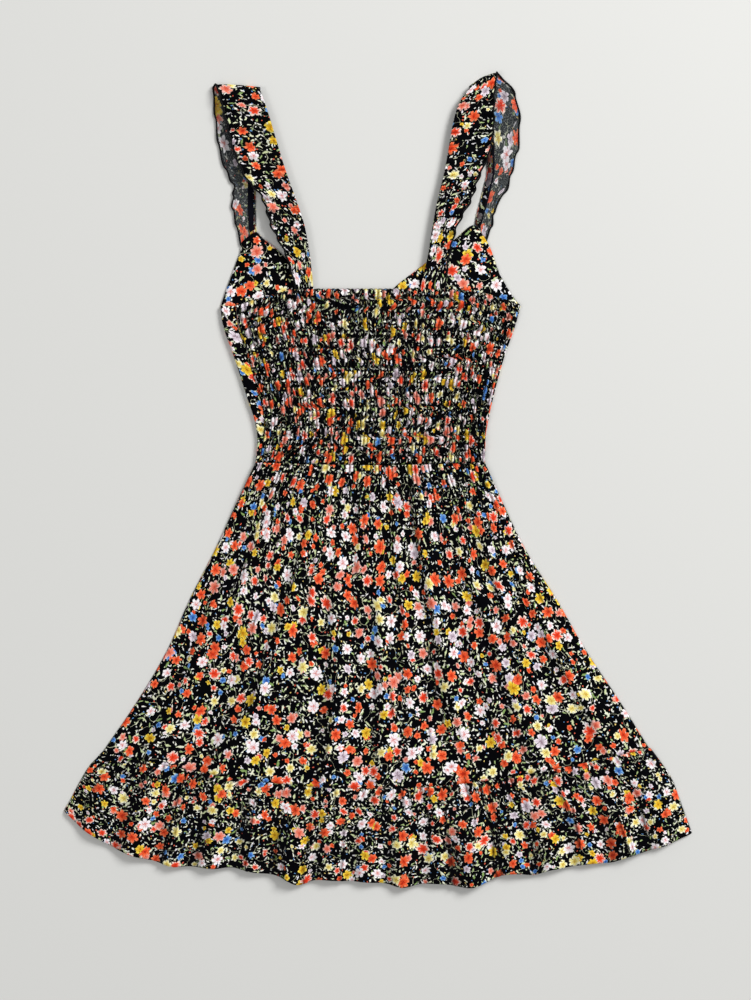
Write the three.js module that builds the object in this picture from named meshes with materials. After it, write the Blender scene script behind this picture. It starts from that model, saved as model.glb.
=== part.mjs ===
import * as THREE from 'three';

// A short sundress lying flat with its back upwards. Millimetres, +Z up.
// The straps point to +Y and the hem to -Y. The underside of the front rests on Z = 0.

// Driving dimensions: cloth and layers
const clothWall = 1.2;
const gatheredWall = 1.4;
const elasticWall = 1.0;
const seamGap = 0.3;
const sideGap = 0.6;
const liningBase = clothWall + seamGap;
const backBase = 2 * liningBase;
const backSkirtBase = liningBase;

// Driving dimensions: waist, seam of the flounce and shirring
const waistY = 18;
const waistDip = 3;
const pitY = 179;
const pitDip = 40;
const flounceSeam = { leftY: -280, rightY: -276, dip: 40 };
const shirring = { gathers: 40, puffs: 18, skin: 1.3, puff: 2.6, ridge: 0.5 };
const puffShares = { crest: 0.75, valley: 0.3, uneven: 0.25 };
const skirtGathers = { count: 42, height: 1.8, least: 0.6, shortest: 35, longest: 110, seed: 3 };
const flounceGathers = { count: 42, height: 1.5, least: 0.6, shortest: 18, longest: 55, seed: 11 };
const waistStep = { from: 10, to: 70 };
const foldFade = { before: 0.15, after: 0.2, end: 0.25 };
const hemWaveStart = 0.8;

// Driving dimensions: side wrap, straps
const curl = { outer: backBase / 2 + clothWall / 2, steps: 4 };
const strapFold = { radius: 2.6, steps: 6 };
const elastic = { width: 7, inset: 0.8, lift: 1.4 };
const ruffle = { farWaves: 8, nearWaves: 14, farRise: 2.0, nearRise: 3.6, flatStrip: 9 };
const ruffleShares = { least: 0.55, atEnds: 0.35 };
const strapEndGap = { ruffle: 0.6, elastic: 1.5 };

// Side edges of the bodice. The front reaches round the left side by the width of the wrap.
const bodiceSides = [
  { y: 18, left: -126, right: 110, wrap: 3 },
  { y: 42, left: -124, right: 110.5, wrap: 6 },
  { y: 62, left: -127, right: 113.5, wrap: 10 },
  { y: 83, left: -134, right: 118, wrap: 13 },
  { y: 124, left: -147, right: 129, wrap: 14 },
  { y: 165, left: -160.5, right: 143, wrap: 15 },
  { y: 179, left: -162, right: 146.5, wrap: 15 },
];

// Armhole edges of the two cups, above the underarm
const cupSides = [
  { y: 179, left: -162, right: 146.5 },
  { y: 197, left: -156, right: 134 },
  { y: 216, left: -149, right: 124 },
  { y: 227, left: -145, right: 120 },
  { y: 237, left: -141.5, right: 116.5 },
  { y: 248, left: -141, right: 111 },
];

// Neckline of the front, from the left cup over the centre to the right cup
const frontNeckline = [
  { x: -141, y: 245 },
  { x: -125, y: 256 },
  { x: -120, y: 251 },
  { x: -101, y: 235 },
  { x: -80, y: 211 },
  { x: -62, y: 186 },
  { x: -23, y: 167 },
  { x: 23, y: 204 },
  { x: 54, y: 228 },
  { x: 80, y: 249 },
  { x: 99, y: 263 },
  { x: 111, y: 248 },
];

// Top edge of the shirred back
const backTopEdge = [
  { x: -147, y: 181 },
  { x: -111, y: 190 },
  { x: -83, y: 197 },
  { x: 71, y: 197 },
  { x: 105, y: 193 },
  { x: 146.5, y: 181 },
];

const skirtSides = [
  { y: 18, left: -126, right: 110 },
  { y: -20, left: -144, right: 127 },
  { y: -72, left: -168, right: 152 },
  { y: -123, left: -194, right: 184 },
  { y: -175, left: -217, right: 214 },
  { y: -226, left: -247, right: 248 },
  { y: -280, left: -284, right: 282 },
];

const flounceSides = [
  { y: -276, left: -281, right: 280 },
  { y: -280, left: -284, right: 284 },
  { y: -292, left: -296, right: 293 },
  { y: -308, left: -306, right: 303 },
  { y: -329, left: -317, right: 311 },
  { y: -340, left: -323, right: 315 },
  { y: -362, left: -330, right: 323 },
];

const hemLine = [
  { x: -323, y: -340 },
  { x: -299, y: -361 },
  { x: -249, y: -386 },
  { x: -200, y: -395 },
  { x: -101, y: -405 },
  { x: -39, y: -411 },
  { x: 47, y: -414 },
  { x: 134, y: -404 },
  { x: 208, y: -395 },
  { x: 282, y: -379 },
  { x: 323, y: -363 },
];

// Lobes where a fold of the flounce reaches past the even hem line
const hemLobes = [
  { x: -212, drop: 3, width: 13 },
  { x: -150, drop: -3, width: 14 },
  { x: -83, drop: 8, width: 14 },
  { x: 24, drop: 4, width: 12 },
  { x: 96, drop: 8, width: 21 },
  { x: 160, drop: 4, width: 12 },
  { x: 240, drop: 3, width: 13 },
];

// Long soft folds of the skirt. Share runs from the left side to the right side,
// and the run goes from 0 at the waist to 1 at the flounce seam.
const skirtFolds = [
  { share: 0.07, drift: 0.02, height: 3.2, width: 0.022, start: 0.35, end: 1.1 },
  { share: 0.13, drift: -0.02, height: 2.2, width: 0.026, start: 0.1, end: 0.75 },
  { share: 0.19, drift: 0.02, height: 2.8, width: 0.024, start: 0.45, end: 1.1 },
  { share: 0.26, drift: 0.01, height: 4.0, width: 0.026, start: 0.15, end: 1.1 },
  { share: 0.33, drift: -0.02, height: 2.4, width: 0.022, start: 0.3, end: 0.85 },
  { share: 0.4, drift: 0.02, height: 4.4, width: 0.028, start: 0.3, end: 1.1 },
  { share: 0.47, drift: 0, height: 2.6, width: 0.024, start: 0, end: 0.55 },
  { share: 0.52, drift: -0.02, height: 4.2, width: 0.026, start: 0.35, end: 1.1 },
  { share: 0.585, drift: 0.01, height: 2.2, width: 0.022, start: 0.5, end: 1.1 },
  { share: 0.67, drift: -0.03, height: 4.8, width: 0.03, start: 0.05, end: 0.95 },
  { share: 0.745, drift: 0.02, height: 3.0, width: 0.024, start: 0.4, end: 1.1 },
  { share: 0.82, drift: 0.01, height: 3.8, width: 0.026, start: 0.25, end: 1.1 },
  { share: 0.885, drift: -0.01, height: 3.0, width: 0.022, start: 0.15, end: 0.8 },
  { share: 0.945, drift: 0.01, height: 3.4, width: 0.02, start: 0.5, end: 1.1 },
];

// Waves of the hem, as shares of the hem's width
const hemWaves = [
  { share: 0.045, height: 3.5, width: 0.018 },
  { share: 0.11, height: 5.0, width: 0.022 },
  { share: 0.175, height: 4.0, width: 0.02 },
  { share: 0.235, height: 5.5, width: 0.022 },
  { share: 0.3, height: 3.8, width: 0.02 },
  { share: 0.36, height: 5.2, width: 0.024 },
  { share: 0.425, height: 4.4, width: 0.02 },
  { share: 0.485, height: 4.0, width: 0.018 },
  { share: 0.545, height: 5.2, width: 0.022 },
  { share: 0.6, height: 3.6, width: 0.018 },
  { share: 0.655, height: 6.5, width: 0.026 },
  { share: 0.72, height: 4.6, width: 0.02 },
  { share: 0.78, height: 5.4, width: 0.022 },
  { share: 0.84, height: 4.0, width: 0.02 },
  { share: 0.9, height: 5.6, width: 0.022 },
  { share: 0.955, height: 4.2, width: 0.016 },
];

// Each strap is one ruffled strip, joined to a cup at its far end, folded over at the top,
// and joined to the top edge of the back at its near end.
const strapPaths = {
  left: {
    far: [
      { neckX: -125, neckY: 256, freeX: -141, freeY: 245 },
      { neckX: -125.5, neckY: 271, freeX: -147, freeY: 267 },
      { neckX: -126, neckY: 287, freeX: -150.5, freeY: 286 },
      { neckX: -126, neckY: 301, freeX: -148.5, freeY: 301 },
      { neckX: -126, neckY: 316, freeX: -156, freeY: 316 },
      { neckX: -124, neckY: 342, freeX: -164, freeY: 344 },
      { neckX: -121, neckY: 372, freeX: -168, freeY: 375 },
      { neckX: -121, neckY: 401, freeX: -169.5, freeY: 404 },
    ],
    near: [
      { neckX: -121, neckY: 401, freeX: -165, freeY: 404 },
      { neckX: -112, neckY: 375, freeX: -158, freeY: 376 },
      { neckX: -103, neckY: 345, freeX: -150, freeY: 344 },
      { neckX: -94, neckY: 316, freeX: -138, freeY: 314 },
      { neckX: -84, neckY: 288, freeX: -118.5, freeY: 288 },
      { neckX: -75, neckY: 260, freeX: -110, freeY: 261 },
      { neckX: -70, neckY: 232, freeX: -94.5, freeY: 231 },
      { neckX: -66, neckY: 197, freeX: -84, freeY: 197 },
    ],
  },
  right: {
    far: [
      { neckX: 99, neckY: 263, freeX: 110.5, freeY: 248 },
      { neckX: 101, neckY: 273, freeX: 117.5, freeY: 263 },
      { neckX: 104.5, neckY: 286, freeX: 120, freeY: 277 },
      { neckX: 108.5, neckY: 302, freeX: 133, freeY: 300 },
      { neckX: 112, neckY: 319, freeX: 138.5, freeY: 319 },
      { neckX: 112, neckY: 341, freeX: 144.5, freeY: 342 },
      { neckX: 109, neckY: 366, freeX: 146, freeY: 373 },
      { neckX: 104, neckY: 388, freeX: 140, freeY: 400 },
      { neckX: 96, neckY: 402, freeX: 125, freeY: 416.5 },
    ],
    near: [
      { neckX: 93.5, neckY: 401.5, freeX: 122, freeY: 416.5 },
      { neckX: 83, neckY: 387, freeX: 119.5, freeY: 392 },
      { neckX: 76, neckY: 362, freeX: 119, freeY: 364 },
      { neckX: 72, neckY: 338, freeX: 115, freeY: 339 },
      { neckX: 67, neckY: 312, freeX: 104.5, freeY: 312 },
      { neckX: 61, neckY: 288, freeX: 96, freeY: 288 },
      { neckX: 56, neckY: 261, freeX: 82, freeY: 261 },
      { neckX: 51, neckY: 230, freeX: 73, freeY: 230 },
      { neckX: 43, neckY: 197, freeX: 69, freeY: 197 },
    ],
  },
};

// Counts of cells along and across each wall
const frontCells = { side: 6, cup: 5 };
const frontSkirtCells = { across: 10, down: 6 };
const flounceCells = { across: 2 * flounceGathers.count, down: 4 };
const frontFlounceCells = { across: 22, down: 2 };
const skirtCells = { across: 2 * skirtGathers.count, down: 8, crowding: 1.6 };
const ruffleColumns = [0, 0.25, 0.5, 1];
const elasticCells = { far: 8, near: 10 };

const looks = {
  crepe: { color: 0x1c1b22, roughness: 0.9, metalness: 0 },
  elastic: { color: 0x0b0b1e, roughness: 0.75, metalness: 0 },
};

const mix = THREE.MathUtils.lerp;
const smooth = THREE.MathUtils.smoothstep;

// A repeatable number from 0 to 1 for each whole number
function scatter(number) {
  const wave = Math.sin(number * 12.9898 + 4.1) * 43758.5453;
  return wave - Math.floor(wave);
}

// Slope of a smooth curve at a row, level wherever the column turns back
function slopeAt(table, key, column, row) {
  const slope = (index) =>
    (table[index + 1][column] - table[index][column]) / (table[index + 1][key] - table[index][key]);
  if (row === 0) return slope(0);
  if (row === table.length - 1) return slope(row - 1);
  const before = slope(row - 1);
  const after = slope(row);
  return before * after <= 0 ? 0 : (2 * before * after) / (before + after);
}

// Reads one column of a table at any place of its key, as a smooth curve through the rows
function read(table, key, place, column) {
  const rising = table[table.length - 1][key] > table[0][key];
  let row = 0;
  while (row < table.length - 2 && (place > table[row + 1][key]) === rising) row += 1;
  const from = table[row];
  const to = table[row + 1];
  const span = to[key] - from[key];
  const t = THREE.MathUtils.clamp((place - from[key]) / span, 0, 1);
  const curve = t * t * (3 - 2 * t);
  return (
    mix(from[column], to[column], curve) +
    span * t * (1 - t) * (1 - t) * slopeAt(table, key, column, row) -
    span * t * t * (1 - t) * slopeAt(table, key, column, row + 1)
  );
}

// A grid of points, from a function of the share across and the share along
function makeGrid(columns, rows, place) {
  return Array.from({ length: rows + 1 }, (_, row) =>
    Array.from({ length: columns + 1 }, (__, column) => place(column / columns, row / rows, column, row)));
}

// Mesh from corner triangles, keeping only the points that are used, with its faces outwards
function solidFrom(name, corners, look) {
  const seen = new Map();
  const positions = [];
  const index = corners.map((point) => {
    if (!seen.has(point)) {
      seen.set(point, seen.size);
      positions.push(point.x, point.y, point.z);
    }
    return seen.get(point);
  });
  let volume = 0;
  for (let corner = 0; corner < corners.length; corner += 3) {
    const [a, b, c] = corners.slice(corner, corner + 3);
    volume += a.x * (b.y * c.z - b.z * c.y) + a.y * (b.z * c.x - b.x * c.z) + a.z * (b.x * c.y - b.y * c.x);
  }
  if (volume < 0) index.reverse();
  const geometry = new THREE.BufferGeometry();
  geometry.setAttribute('position', new THREE.Float32BufferAttribute(positions, 3));
  geometry.setIndex(index);
  geometry.computeVertexNormals();
  const mesh = new THREE.Mesh(geometry, new THREE.MeshStandardMaterial(look));
  mesh.name = name;
  return mesh;
}

// Closed wall between an upper and a lower grid. Cells that the test leaves out are open.
function wallBetween(upper, lower, hasCell = () => true) {
  const corners = [];
  const quad = (a, b, c, d) => corners.push(a, b, c, a, c, d);
  const rows = upper.length - 1;
  const columns = upper[0].length - 1;
  const present = (row, column) =>
    row >= 0 && column >= 0 && row < rows && column < columns && hasCell(column, row);
  for (let row = 0; row < rows; row += 1) {
    for (let column = 0; column < columns; column += 1) {
      if (!present(row, column)) continue;
      const cell = [[row, column], [row, column + 1], [row + 1, column + 1], [row + 1, column]];
      const above = cell.map(([r, c]) => upper[r][c]);
      const below = cell.map(([r, c]) => lower[r][c]);
      quad(above[0], above[1], above[2], above[3]);
      quad(below[0], below[3], below[2], below[1]);
      const beside = [[row - 1, column], [row, column + 1], [row + 1, column], [row, column - 1]];
      beside.forEach(([r, c], side) => {
        const next = (side + 1) % 4;
        if (!present(r, c)) quad(below[side], below[next], above[next], above[side]);
      });
    }
  }
  return corners;
}

// Closed wall whose outer side is a fine relief and whose inner side is level, a fan about its centre
function reliefWall(outer, insideZ) {
  const corners = [];
  const quad = (a, b, c, d) => corners.push(a, b, c, a, c, d);
  const rows = outer.length - 1;
  const columns = outer[0].length - 1;
  for (let row = 0; row < rows; row += 1) {
    for (let column = 0; column < columns; column += 1) {
      quad(outer[row][column], outer[row][column + 1], outer[row + 1][column + 1], outer[row + 1][column]);
    }
  }
  const rim = [
    ...outer[0].slice(0, columns),
    ...outer.slice(0, rows).map((line) => line[columns]),
    ...outer[rows].slice(1).reverse(),
    ...outer.slice(1).reverse().map((line) => line[0]),
  ];
  const inner = rim.map((point) => new THREE.Vector3(point.x, point.y, insideZ));
  const centre = inner.reduce((sum, point) => sum.add(point), new THREE.Vector3()).divideScalar(inner.length);
  rim.forEach((point, place) => {
    const next = (place + 1) % rim.length;
    quad(inner[place], inner[next], rim[next], point);
    corners.push(centre, inner[next], inner[place]);
  });
  return corners;
}

// Wall of even height on a grid of under points
function layWall(under, wall) {
  const raise = (point) => new THREE.Vector3(point.x, point.y, point.z + wall);
  return wallBetween(under.map((line) => line.map(raise)), under);
}

function waistAt(x) {
  const { left, right } = bodiceSides[0];
  const share = THREE.MathUtils.clamp((x - left) / (right - left), 0, 1);
  return waistY - waistDip * Math.sin(Math.PI * share);
}

// Shares across the front: one at each row of the neckline, and one halfway to the next
const neckFrom = frontNeckline[0].x;
const neckTo = frontNeckline[frontNeckline.length - 1].x;
const frontShares = frontNeckline.flatMap((row, place) => {
  const next = frontNeckline[place + 1];
  const share = (row.x - neckFrom) / (neckTo - neckFrom);
  return next ? [share, ((row.x + next.x) / 2 - neckFrom) / (neckTo - neckFrom)] : [share];
});
const frontAcross = frontShares.length - 1;

// Point of the flat front at a share across and a row, below or above the underarm
function frontPoint(share, row, leftInset) {
  const { side, cup } = frontCells;
  const sagPit = pitY - pitDip * Math.sin(Math.PI * share);
  if (row <= side) {
    const t = row / side;
    const sideY = mix(waistY, pitY, t);
    const left = read(bodiceSides, 'y', sideY, 'left') + leftInset;
    const x = mix(left, read(bodiceSides, 'y', sideY, 'right'), share);
    return new THREE.Vector2(x, mix(waistAt(x), sagPit, t));
  }
  const t = (row - side) / cup;
  const left = read(cupSides, 'y', mix(pitY, frontNeckline[0].y, t), 'left');
  const right = read(cupSides, 'y', mix(pitY, frontNeckline[frontNeckline.length - 1].y, t), 'right');
  const top = read(frontNeckline, 'x', mix(neckFrom, neckTo, share), 'y');
  return new THREE.Vector2(mix(left, right, share), mix(sagPit, top, t));
}

// Outer front: a flat layer whose left side turns up and over onto the back, up to the side seam
function makeFrontBodice() {
  const rows = frontCells.side + frontCells.cup;
  const wrapColumns = curl.steps + 1;
  const inner = curl.outer - clothWall;
  const place = (column, row, radius, flatZ) => {
    const share = frontShares[Math.max(column - wrapColumns, 0)];
    const flat = frontPoint(share, row, curl.outer);
    if (column >= wrapColumns) return new THREE.Vector3(flat.x, flat.y, flatZ);
    const sideY = Math.min(mix(waistY, pitY, row / frontCells.side), pitY);
    const left = read(bodiceSides, 'y', sideY, 'left');
    if (column === 0) {
      const seamX = left + read(bodiceSides, 'y', sideY, 'wrap');
      return new THREE.Vector3(seamX, flat.y, curl.outer + radius);
    }
    const turn = Math.PI / 2 + (Math.PI * (column - 1)) / curl.steps;
    const x = left + curl.outer + radius * Math.cos(turn);
    return new THREE.Vector3(x, flat.y, curl.outer + radius * Math.sin(turn));
  };
  const columns = wrapColumns + frontAcross;
  const upper = makeGrid(columns, rows, (_, __, column, row) => place(column, row, inner, clothWall));
  const lower = makeGrid(columns, rows, (_, __, column, row) => place(column, row, curl.outer, 0));
  const corners = wallBetween(upper, lower, (column, row) => column >= wrapColumns || row < frontCells.side);
  return solidFrom('front_bodice', corners, looks.crepe);
}

// The front is lined with itself. The lining's upper face shows above the back.
function makeFrontLining() {
  const rows = frontCells.side + frontCells.cup;
  const under = makeGrid(frontAcross, rows, (_, __, column, row) => {
    const flat = frontPoint(frontShares[column], row, curl.outer + seamGap);
    return new THREE.Vector3(flat.x, flat.y, liningBase);
  });
  return solidFrom('front_lining', layWall(under, clothWall), looks.crepe);
}

// Left side seam of the back, along the straight steps of the wrap's own edge
function sideSeamX(run) {
  const { side } = frontCells;
  const step = Math.min(Math.floor(run * side), side - 1);
  const edge = (share) => {
    const y = mix(waistY, pitY, share);
    return read(bodiceSides, 'y', y, 'left') + read(bodiceSides, 'y', y, 'wrap');
  };
  return mix(edge(step / side), edge((step + 1) / side), run * side - step);
}

// Shirred back: rows of elastic pull the cloth into puffs, split by upright gathers
function makeBackBodice() {
  const columns = 2 * shirring.gathers;
  const rows = 2 * shirring.puffs;
  const outer = makeGrid(columns, rows, (share, run, column, row) => {
    const right = read(bodiceSides, 'y', mix(waistY, pitY, run), 'right');
    const x = mix(sideSeamX(run) + sideGap, right, share);
    const y = mix(waistAt(x) + seamGap, read(backTopEdge, 'x', x, 'y'), run);
    const crest = column % 2 === 1;
    const { uneven } = puffShares;
    const swell = (crest ? puffShares.crest : puffShares.valley) + uneven * scatter(column * 31 + row);
    const ridge = crest ? shirring.ridge : 0;
    const rise = row % 2 === 1 ? shirring.puff * swell : ridge;
    return new THREE.Vector3(x, y, backBase + shirring.skin + rise);
  });
  return solidFrom('back_bodice', reliefWall(outer, backBase), looks.crepe);
}

// Height of fine gathers at a distance from the seam that gathers them
function gatherHeight(gathers, column, distance) {
  if (column % 2 === 0) return 0;
  const reach = mix(gathers.shortest, gathers.longest, scatter(column * 7 + gathers.seed) ** 2);
  const size = gathers.height * mix(gathers.least, 1, scatter(column * 5 + gathers.seed));
  return size * Math.exp(-((distance / reach) ** 2));
}

function foldHeight(share, run) {
  return skirtFolds.reduce((sum, fold) => {
    const centre = fold.share + fold.drift * (run - 0.5);
    const across = Math.exp(-(((share - centre) / fold.width) ** 2));
    const rise = smooth(run, fold.start - foldFade.before, fold.start + foldFade.after);
    const fall = 1 - smooth(run, fold.end - foldFade.end, fold.end);
    return sum + fold.height * across * rise * fall;
  }, 0);
}

function waveHeight(share) {
  return hemWaves.reduce(
    (sum, wave) => sum + wave.height * Math.exp(-(((share - wave.share) / wave.width) ** 2)), 0);
}

function seamY(share) {
  return mix(flounceSeam.leftY, flounceSeam.rightY, share) - flounceSeam.dip * Math.sin(Math.PI * share);
}

function skirtPoint(share, run) {
  const left = read(skirtSides, 'y', mix(waistY, flounceSeam.leftY, run), 'left');
  const right = read(skirtSides, 'y', mix(waistY, flounceSeam.rightY, run), 'right');
  const x = mix(left, right, share);
  return new THREE.Vector2(x, mix(waistAt(x), seamY(share), run));
}

function hemY(x) {
  return hemLobes.reduce(
    (y, lobe) => y - lobe.drop * Math.exp(-(((x - lobe.x) / lobe.width) ** 2)), read(hemLine, 'x', x, 'y'));
}

function flouncePoint(share, run) {
  const first = hemLine[0];
  const last = hemLine[hemLine.length - 1];
  const left = read(flounceSides, 'y', mix(flounceSeam.leftY, first.y, run), 'left');
  const right = read(flounceSides, 'y', mix(flounceSeam.rightY, last.y, run), 'right');
  const x = mix(left, right, share);
  return new THREE.Vector2(x, mix(seamY(share) - seamGap, hemY(mix(first.x, last.x, share)), run));
}

function makeFrontSkirt() {
  const { across, down } = frontSkirtCells;
  const under = makeGrid(across, down, (share, run) => {
    const flat = skirtPoint(share, run);
    return new THREE.Vector3(flat.x, flat.y - (1 - run) * seamGap, 0);
  });
  return solidFrom('front_skirt', layWall(under, clothWall), looks.crepe);
}

function makeFrontFlounce() {
  const { across, down } = frontFlounceCells;
  const under = makeGrid(across, down, (share, run) => {
    const flat = flouncePoint(share, run);
    return new THREE.Vector3(flat.x, flat.y - (1 - run) * seamGap, 0);
  });
  return solidFrom('front_flounce', layWall(under, clothWall), looks.crepe);
}

function makeBackSkirt() {
  const { across, down, crowding } = skirtCells;
  const under = makeGrid(across, down, (share, even, column) => {
    const run = even ** crowding;
    const flat = skirtPoint(share, run);
    const distance = run * (waistY - seamY(share));
    const step = (backBase - backSkirtBase) * (1 - smooth(distance, waistStep.from, waistStep.to));
    const lift = gatherHeight(skirtGathers, column, distance) + foldHeight(share, run);
    return new THREE.Vector3(flat.x, flat.y - (1 - run) * seamGap, backSkirtBase + step + lift);
  });
  return solidFrom('back_skirt', layWall(under, gatheredWall), looks.crepe);
}

function makeBackFlounce() {
  const { across, down } = flounceCells;
  const under = makeGrid(across, down, (share, run, column) => {
    const flat = flouncePoint(share, run);
    const distance = seamY(share) - flat.y;
    const folds = mix(foldHeight(share, 1), waveHeight(share), smooth(run, 0, hemWaveStart));
    const lift = gatherHeight(flounceGathers, column, distance) + folds;
    return new THREE.Vector3(flat.x, flat.y, backSkirtBase + lift);
  });
  return solidFrom('back_flounce', layWall(under, gatheredWall), looks.crepe);
}

// One place along a strap's path: both edges, the height, and the way the right side faces
function pathPlace(table, run) {
  const rows = table.map((row, place) => ({ ...row, place: place / (table.length - 1) }));
  const value = (column) => read(rows, 'place', run, column);
  return {
    neck: new THREE.Vector2(value('neckX'), value('neckY')),
    free: new THREE.Vector2(value('freeX'), value('freeY')),
  };
}

// Height of the cups' edge in plan, along the straight steps of the front's own edge
function cupEdgeY(x) {
  const share = THREE.MathUtils.clamp((x - neckFrom) / (neckTo - neckFrom), 0, 1);
  const next = Math.max(1, frontShares.findIndex((place) => place >= share));
  const edge = (place) => read(frontNeckline, 'x', mix(neckFrom, neckTo, place), 'y');
  const from = frontShares[next - 1];
  const to = frontShares[next];
  return mix(edge(from), edge(to), (share - from) / (to - from));
}

function strapStations(path, farSteps, nearSteps) {
  const lowZ = clothWall / 2;
  const highZ = lowZ + 2 * strapFold.radius;
  const up = new THREE.Vector3(0, 0, 1);
  const down = up.clone().negate();
  const farEnd = pathPlace(path.far, 1);
  const nearStart = pathPlace(path.near, 0);
  const across = nearStart.neck.clone().sub(nearStart.free).normalize();
  const outward = new THREE.Vector2(-across.y, across.x);
  if (outward.y < 0) outward.negate();
  const stations = [];
  for (let step = 0; step < farSteps; step += 1) {
    const run = step / farSteps;
    stations.push({ ...pathPlace(path.far, run), z: lowZ, face: down, part: 'far', run });
  }
  for (let step = 0; step <= strapFold.steps; step += 1) {
    const share = step / strapFold.steps;
    const turn = Math.PI * share;
    const bulge = strapFold.radius * Math.sin(turn);
    stations.push({
      neck: farEnd.neck.clone().lerp(nearStart.neck, share).addScaledVector(outward, bulge),
      free: farEnd.free.clone().lerp(nearStart.free, share).addScaledVector(outward, bulge),
      z: lowZ + strapFold.radius * (1 - Math.cos(turn)),
      face: new THREE.Vector3(outward.x * Math.sin(turn), outward.y * Math.sin(turn), -Math.cos(turn)),
      part: 'fold',
      run: share,
    });
  }
  for (let step = 1; step <= nearSteps; step += 1) {
    const run = step / nearSteps;
    stations.push({ ...pathPlace(path.near, run), z: highZ, face: up, part: 'near', run });
  }
  return stations;
}

// Wall along the stations, through places given as widths from the neck edge
function strapWall(stations, widths, shift, wall, endGap) {
  const sheet = (offset) => stations.map((station, order) => {
    const breadth = station.free.distanceTo(station.neck);
    return widths(breadth).map((width) => {
      const flat = station.neck.clone().lerp(station.free, width / breadth);
      if (order === 0) flat.y = cupEdgeY(flat.x) + endGap;
      if (order === stations.length - 1) flat.y = read(backTopEdge, 'x', flat.x, 'y') + endGap;
      const middle = new THREE.Vector3(flat.x, flat.y, station.z);
      middle.addScaledVector(station.face, shift(station, width, breadth, order) + offset);
      return middle;
    });
  });
  return wallBetween(sheet(wall / 2), sheet(-wall / 2));
}

// Waves of the ruffle grow towards its free edge, and always rise from the surface below
function ruffleRise(station, width, breadth, order) {
  const grow = smooth(width, ruffle.flatStrip, Math.max(breadth, ruffle.flatStrip + 1));
  const ends = Math.sin(Math.PI * Math.min(station.run, 1));
  if (order % 2 === 0 || station.part === 'fold') return 0;
  const uneven = mix(ruffleShares.least, 1, scatter(order * 13));
  const size = uneven * grow * Math.min(1, ruffleShares.atEnds + ends);
  return station.part === 'far' ? -ruffle.farRise * size : ruffle.nearRise * size;
}

function makeStrap(side) {
  const path = strapPaths[side];
  const ruffleStations = strapStations(path, 2 * ruffle.farWaves, 2 * ruffle.nearWaves);
  const ruffleWidths = (breadth) => ruffleColumns.map((share) => share * breadth);
  const ruffleCorners = strapWall(ruffleStations, ruffleWidths, ruffleRise, clothWall, strapEndGap.ruffle);
  const elasticStations = strapStations(path, elasticCells.far, elasticCells.near);
  const elasticWidths = () => [elastic.inset, elastic.inset + elastic.width];
  const elasticShift = () => -elastic.lift;
  const elasticCorners = strapWall(
    elasticStations, elasticWidths, elasticShift, elasticWall, strapEndGap.elastic);
  return [
    solidFrom(`strap_ruffle_${side}`, ruffleCorners, looks.crepe),
    solidFrom(`strap_elastic_${side}`, elasticCorners, looks.elastic),
  ];
}

const dress = new THREE.Group();
dress.add(
  makeFrontSkirt(),
  makeFrontFlounce(),
  makeFrontBodice(),
  makeFrontLining(),
  makeBackBodice(),
  makeBackSkirt(),
  makeBackFlounce(),
  ...makeStrap('left'),
  ...makeStrap('right'),
);

// The origin is under the middle of the whole outline
const bounds = new THREE.Box3().setFromObject(dress);
const middle = bounds.getCenter(new THREE.Vector3());
dress.position.set(-middle.x, -middle.y, -bounds.min.z);
dress.updateMatrixWorld(true);

export default dress;
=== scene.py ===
import math

import bmesh
import bpy
import numpy as np
from mathutils import Matrix, Vector, noise


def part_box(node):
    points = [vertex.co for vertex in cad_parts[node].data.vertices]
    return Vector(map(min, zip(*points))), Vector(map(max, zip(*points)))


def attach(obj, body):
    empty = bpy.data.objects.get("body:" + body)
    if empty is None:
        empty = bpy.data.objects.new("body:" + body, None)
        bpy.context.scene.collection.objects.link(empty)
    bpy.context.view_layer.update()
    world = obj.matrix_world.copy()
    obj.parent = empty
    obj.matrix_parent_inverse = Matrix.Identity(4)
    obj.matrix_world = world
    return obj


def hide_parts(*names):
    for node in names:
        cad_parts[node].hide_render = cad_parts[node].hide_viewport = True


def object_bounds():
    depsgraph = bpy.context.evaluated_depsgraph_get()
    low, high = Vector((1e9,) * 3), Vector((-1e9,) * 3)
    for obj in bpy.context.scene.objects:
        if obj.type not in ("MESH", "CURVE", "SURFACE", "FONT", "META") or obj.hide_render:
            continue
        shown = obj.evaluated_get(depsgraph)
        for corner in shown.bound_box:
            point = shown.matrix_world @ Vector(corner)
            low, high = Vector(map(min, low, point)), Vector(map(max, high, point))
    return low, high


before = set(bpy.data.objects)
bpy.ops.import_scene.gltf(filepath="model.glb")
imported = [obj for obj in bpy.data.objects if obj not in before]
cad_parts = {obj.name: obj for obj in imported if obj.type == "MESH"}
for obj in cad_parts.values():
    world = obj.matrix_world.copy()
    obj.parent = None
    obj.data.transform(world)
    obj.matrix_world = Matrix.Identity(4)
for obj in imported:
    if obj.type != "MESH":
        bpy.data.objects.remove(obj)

cadLow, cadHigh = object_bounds()

# A short sundress lying flat with its back upwards. The tables below are in millimetres,
# and every mesh is made in metres in the frame's own axes.
mm = 0.001

garment = {
    "clothWall": 1.2,
    "gatheredWall": 1.4,
    "seamGap": 0.3,
    "sideGap": 0.6,
    "liningBase": 1.5,
    "backBase": 3.0,
    "backSkirtBase": 1.5,
    "waistY": 18.0,
    "waistDip": 3.0,
    "pitY": 179.0,
    "pitDip": 40.0,
    "seamLeftY": -280.0,
    "seamRightY": -276.0,
    "seamDip": 40.0,
    "curlOuter": 2.1,
    "shell": 0.4,
    "floorGap": 0.05,
}

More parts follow.
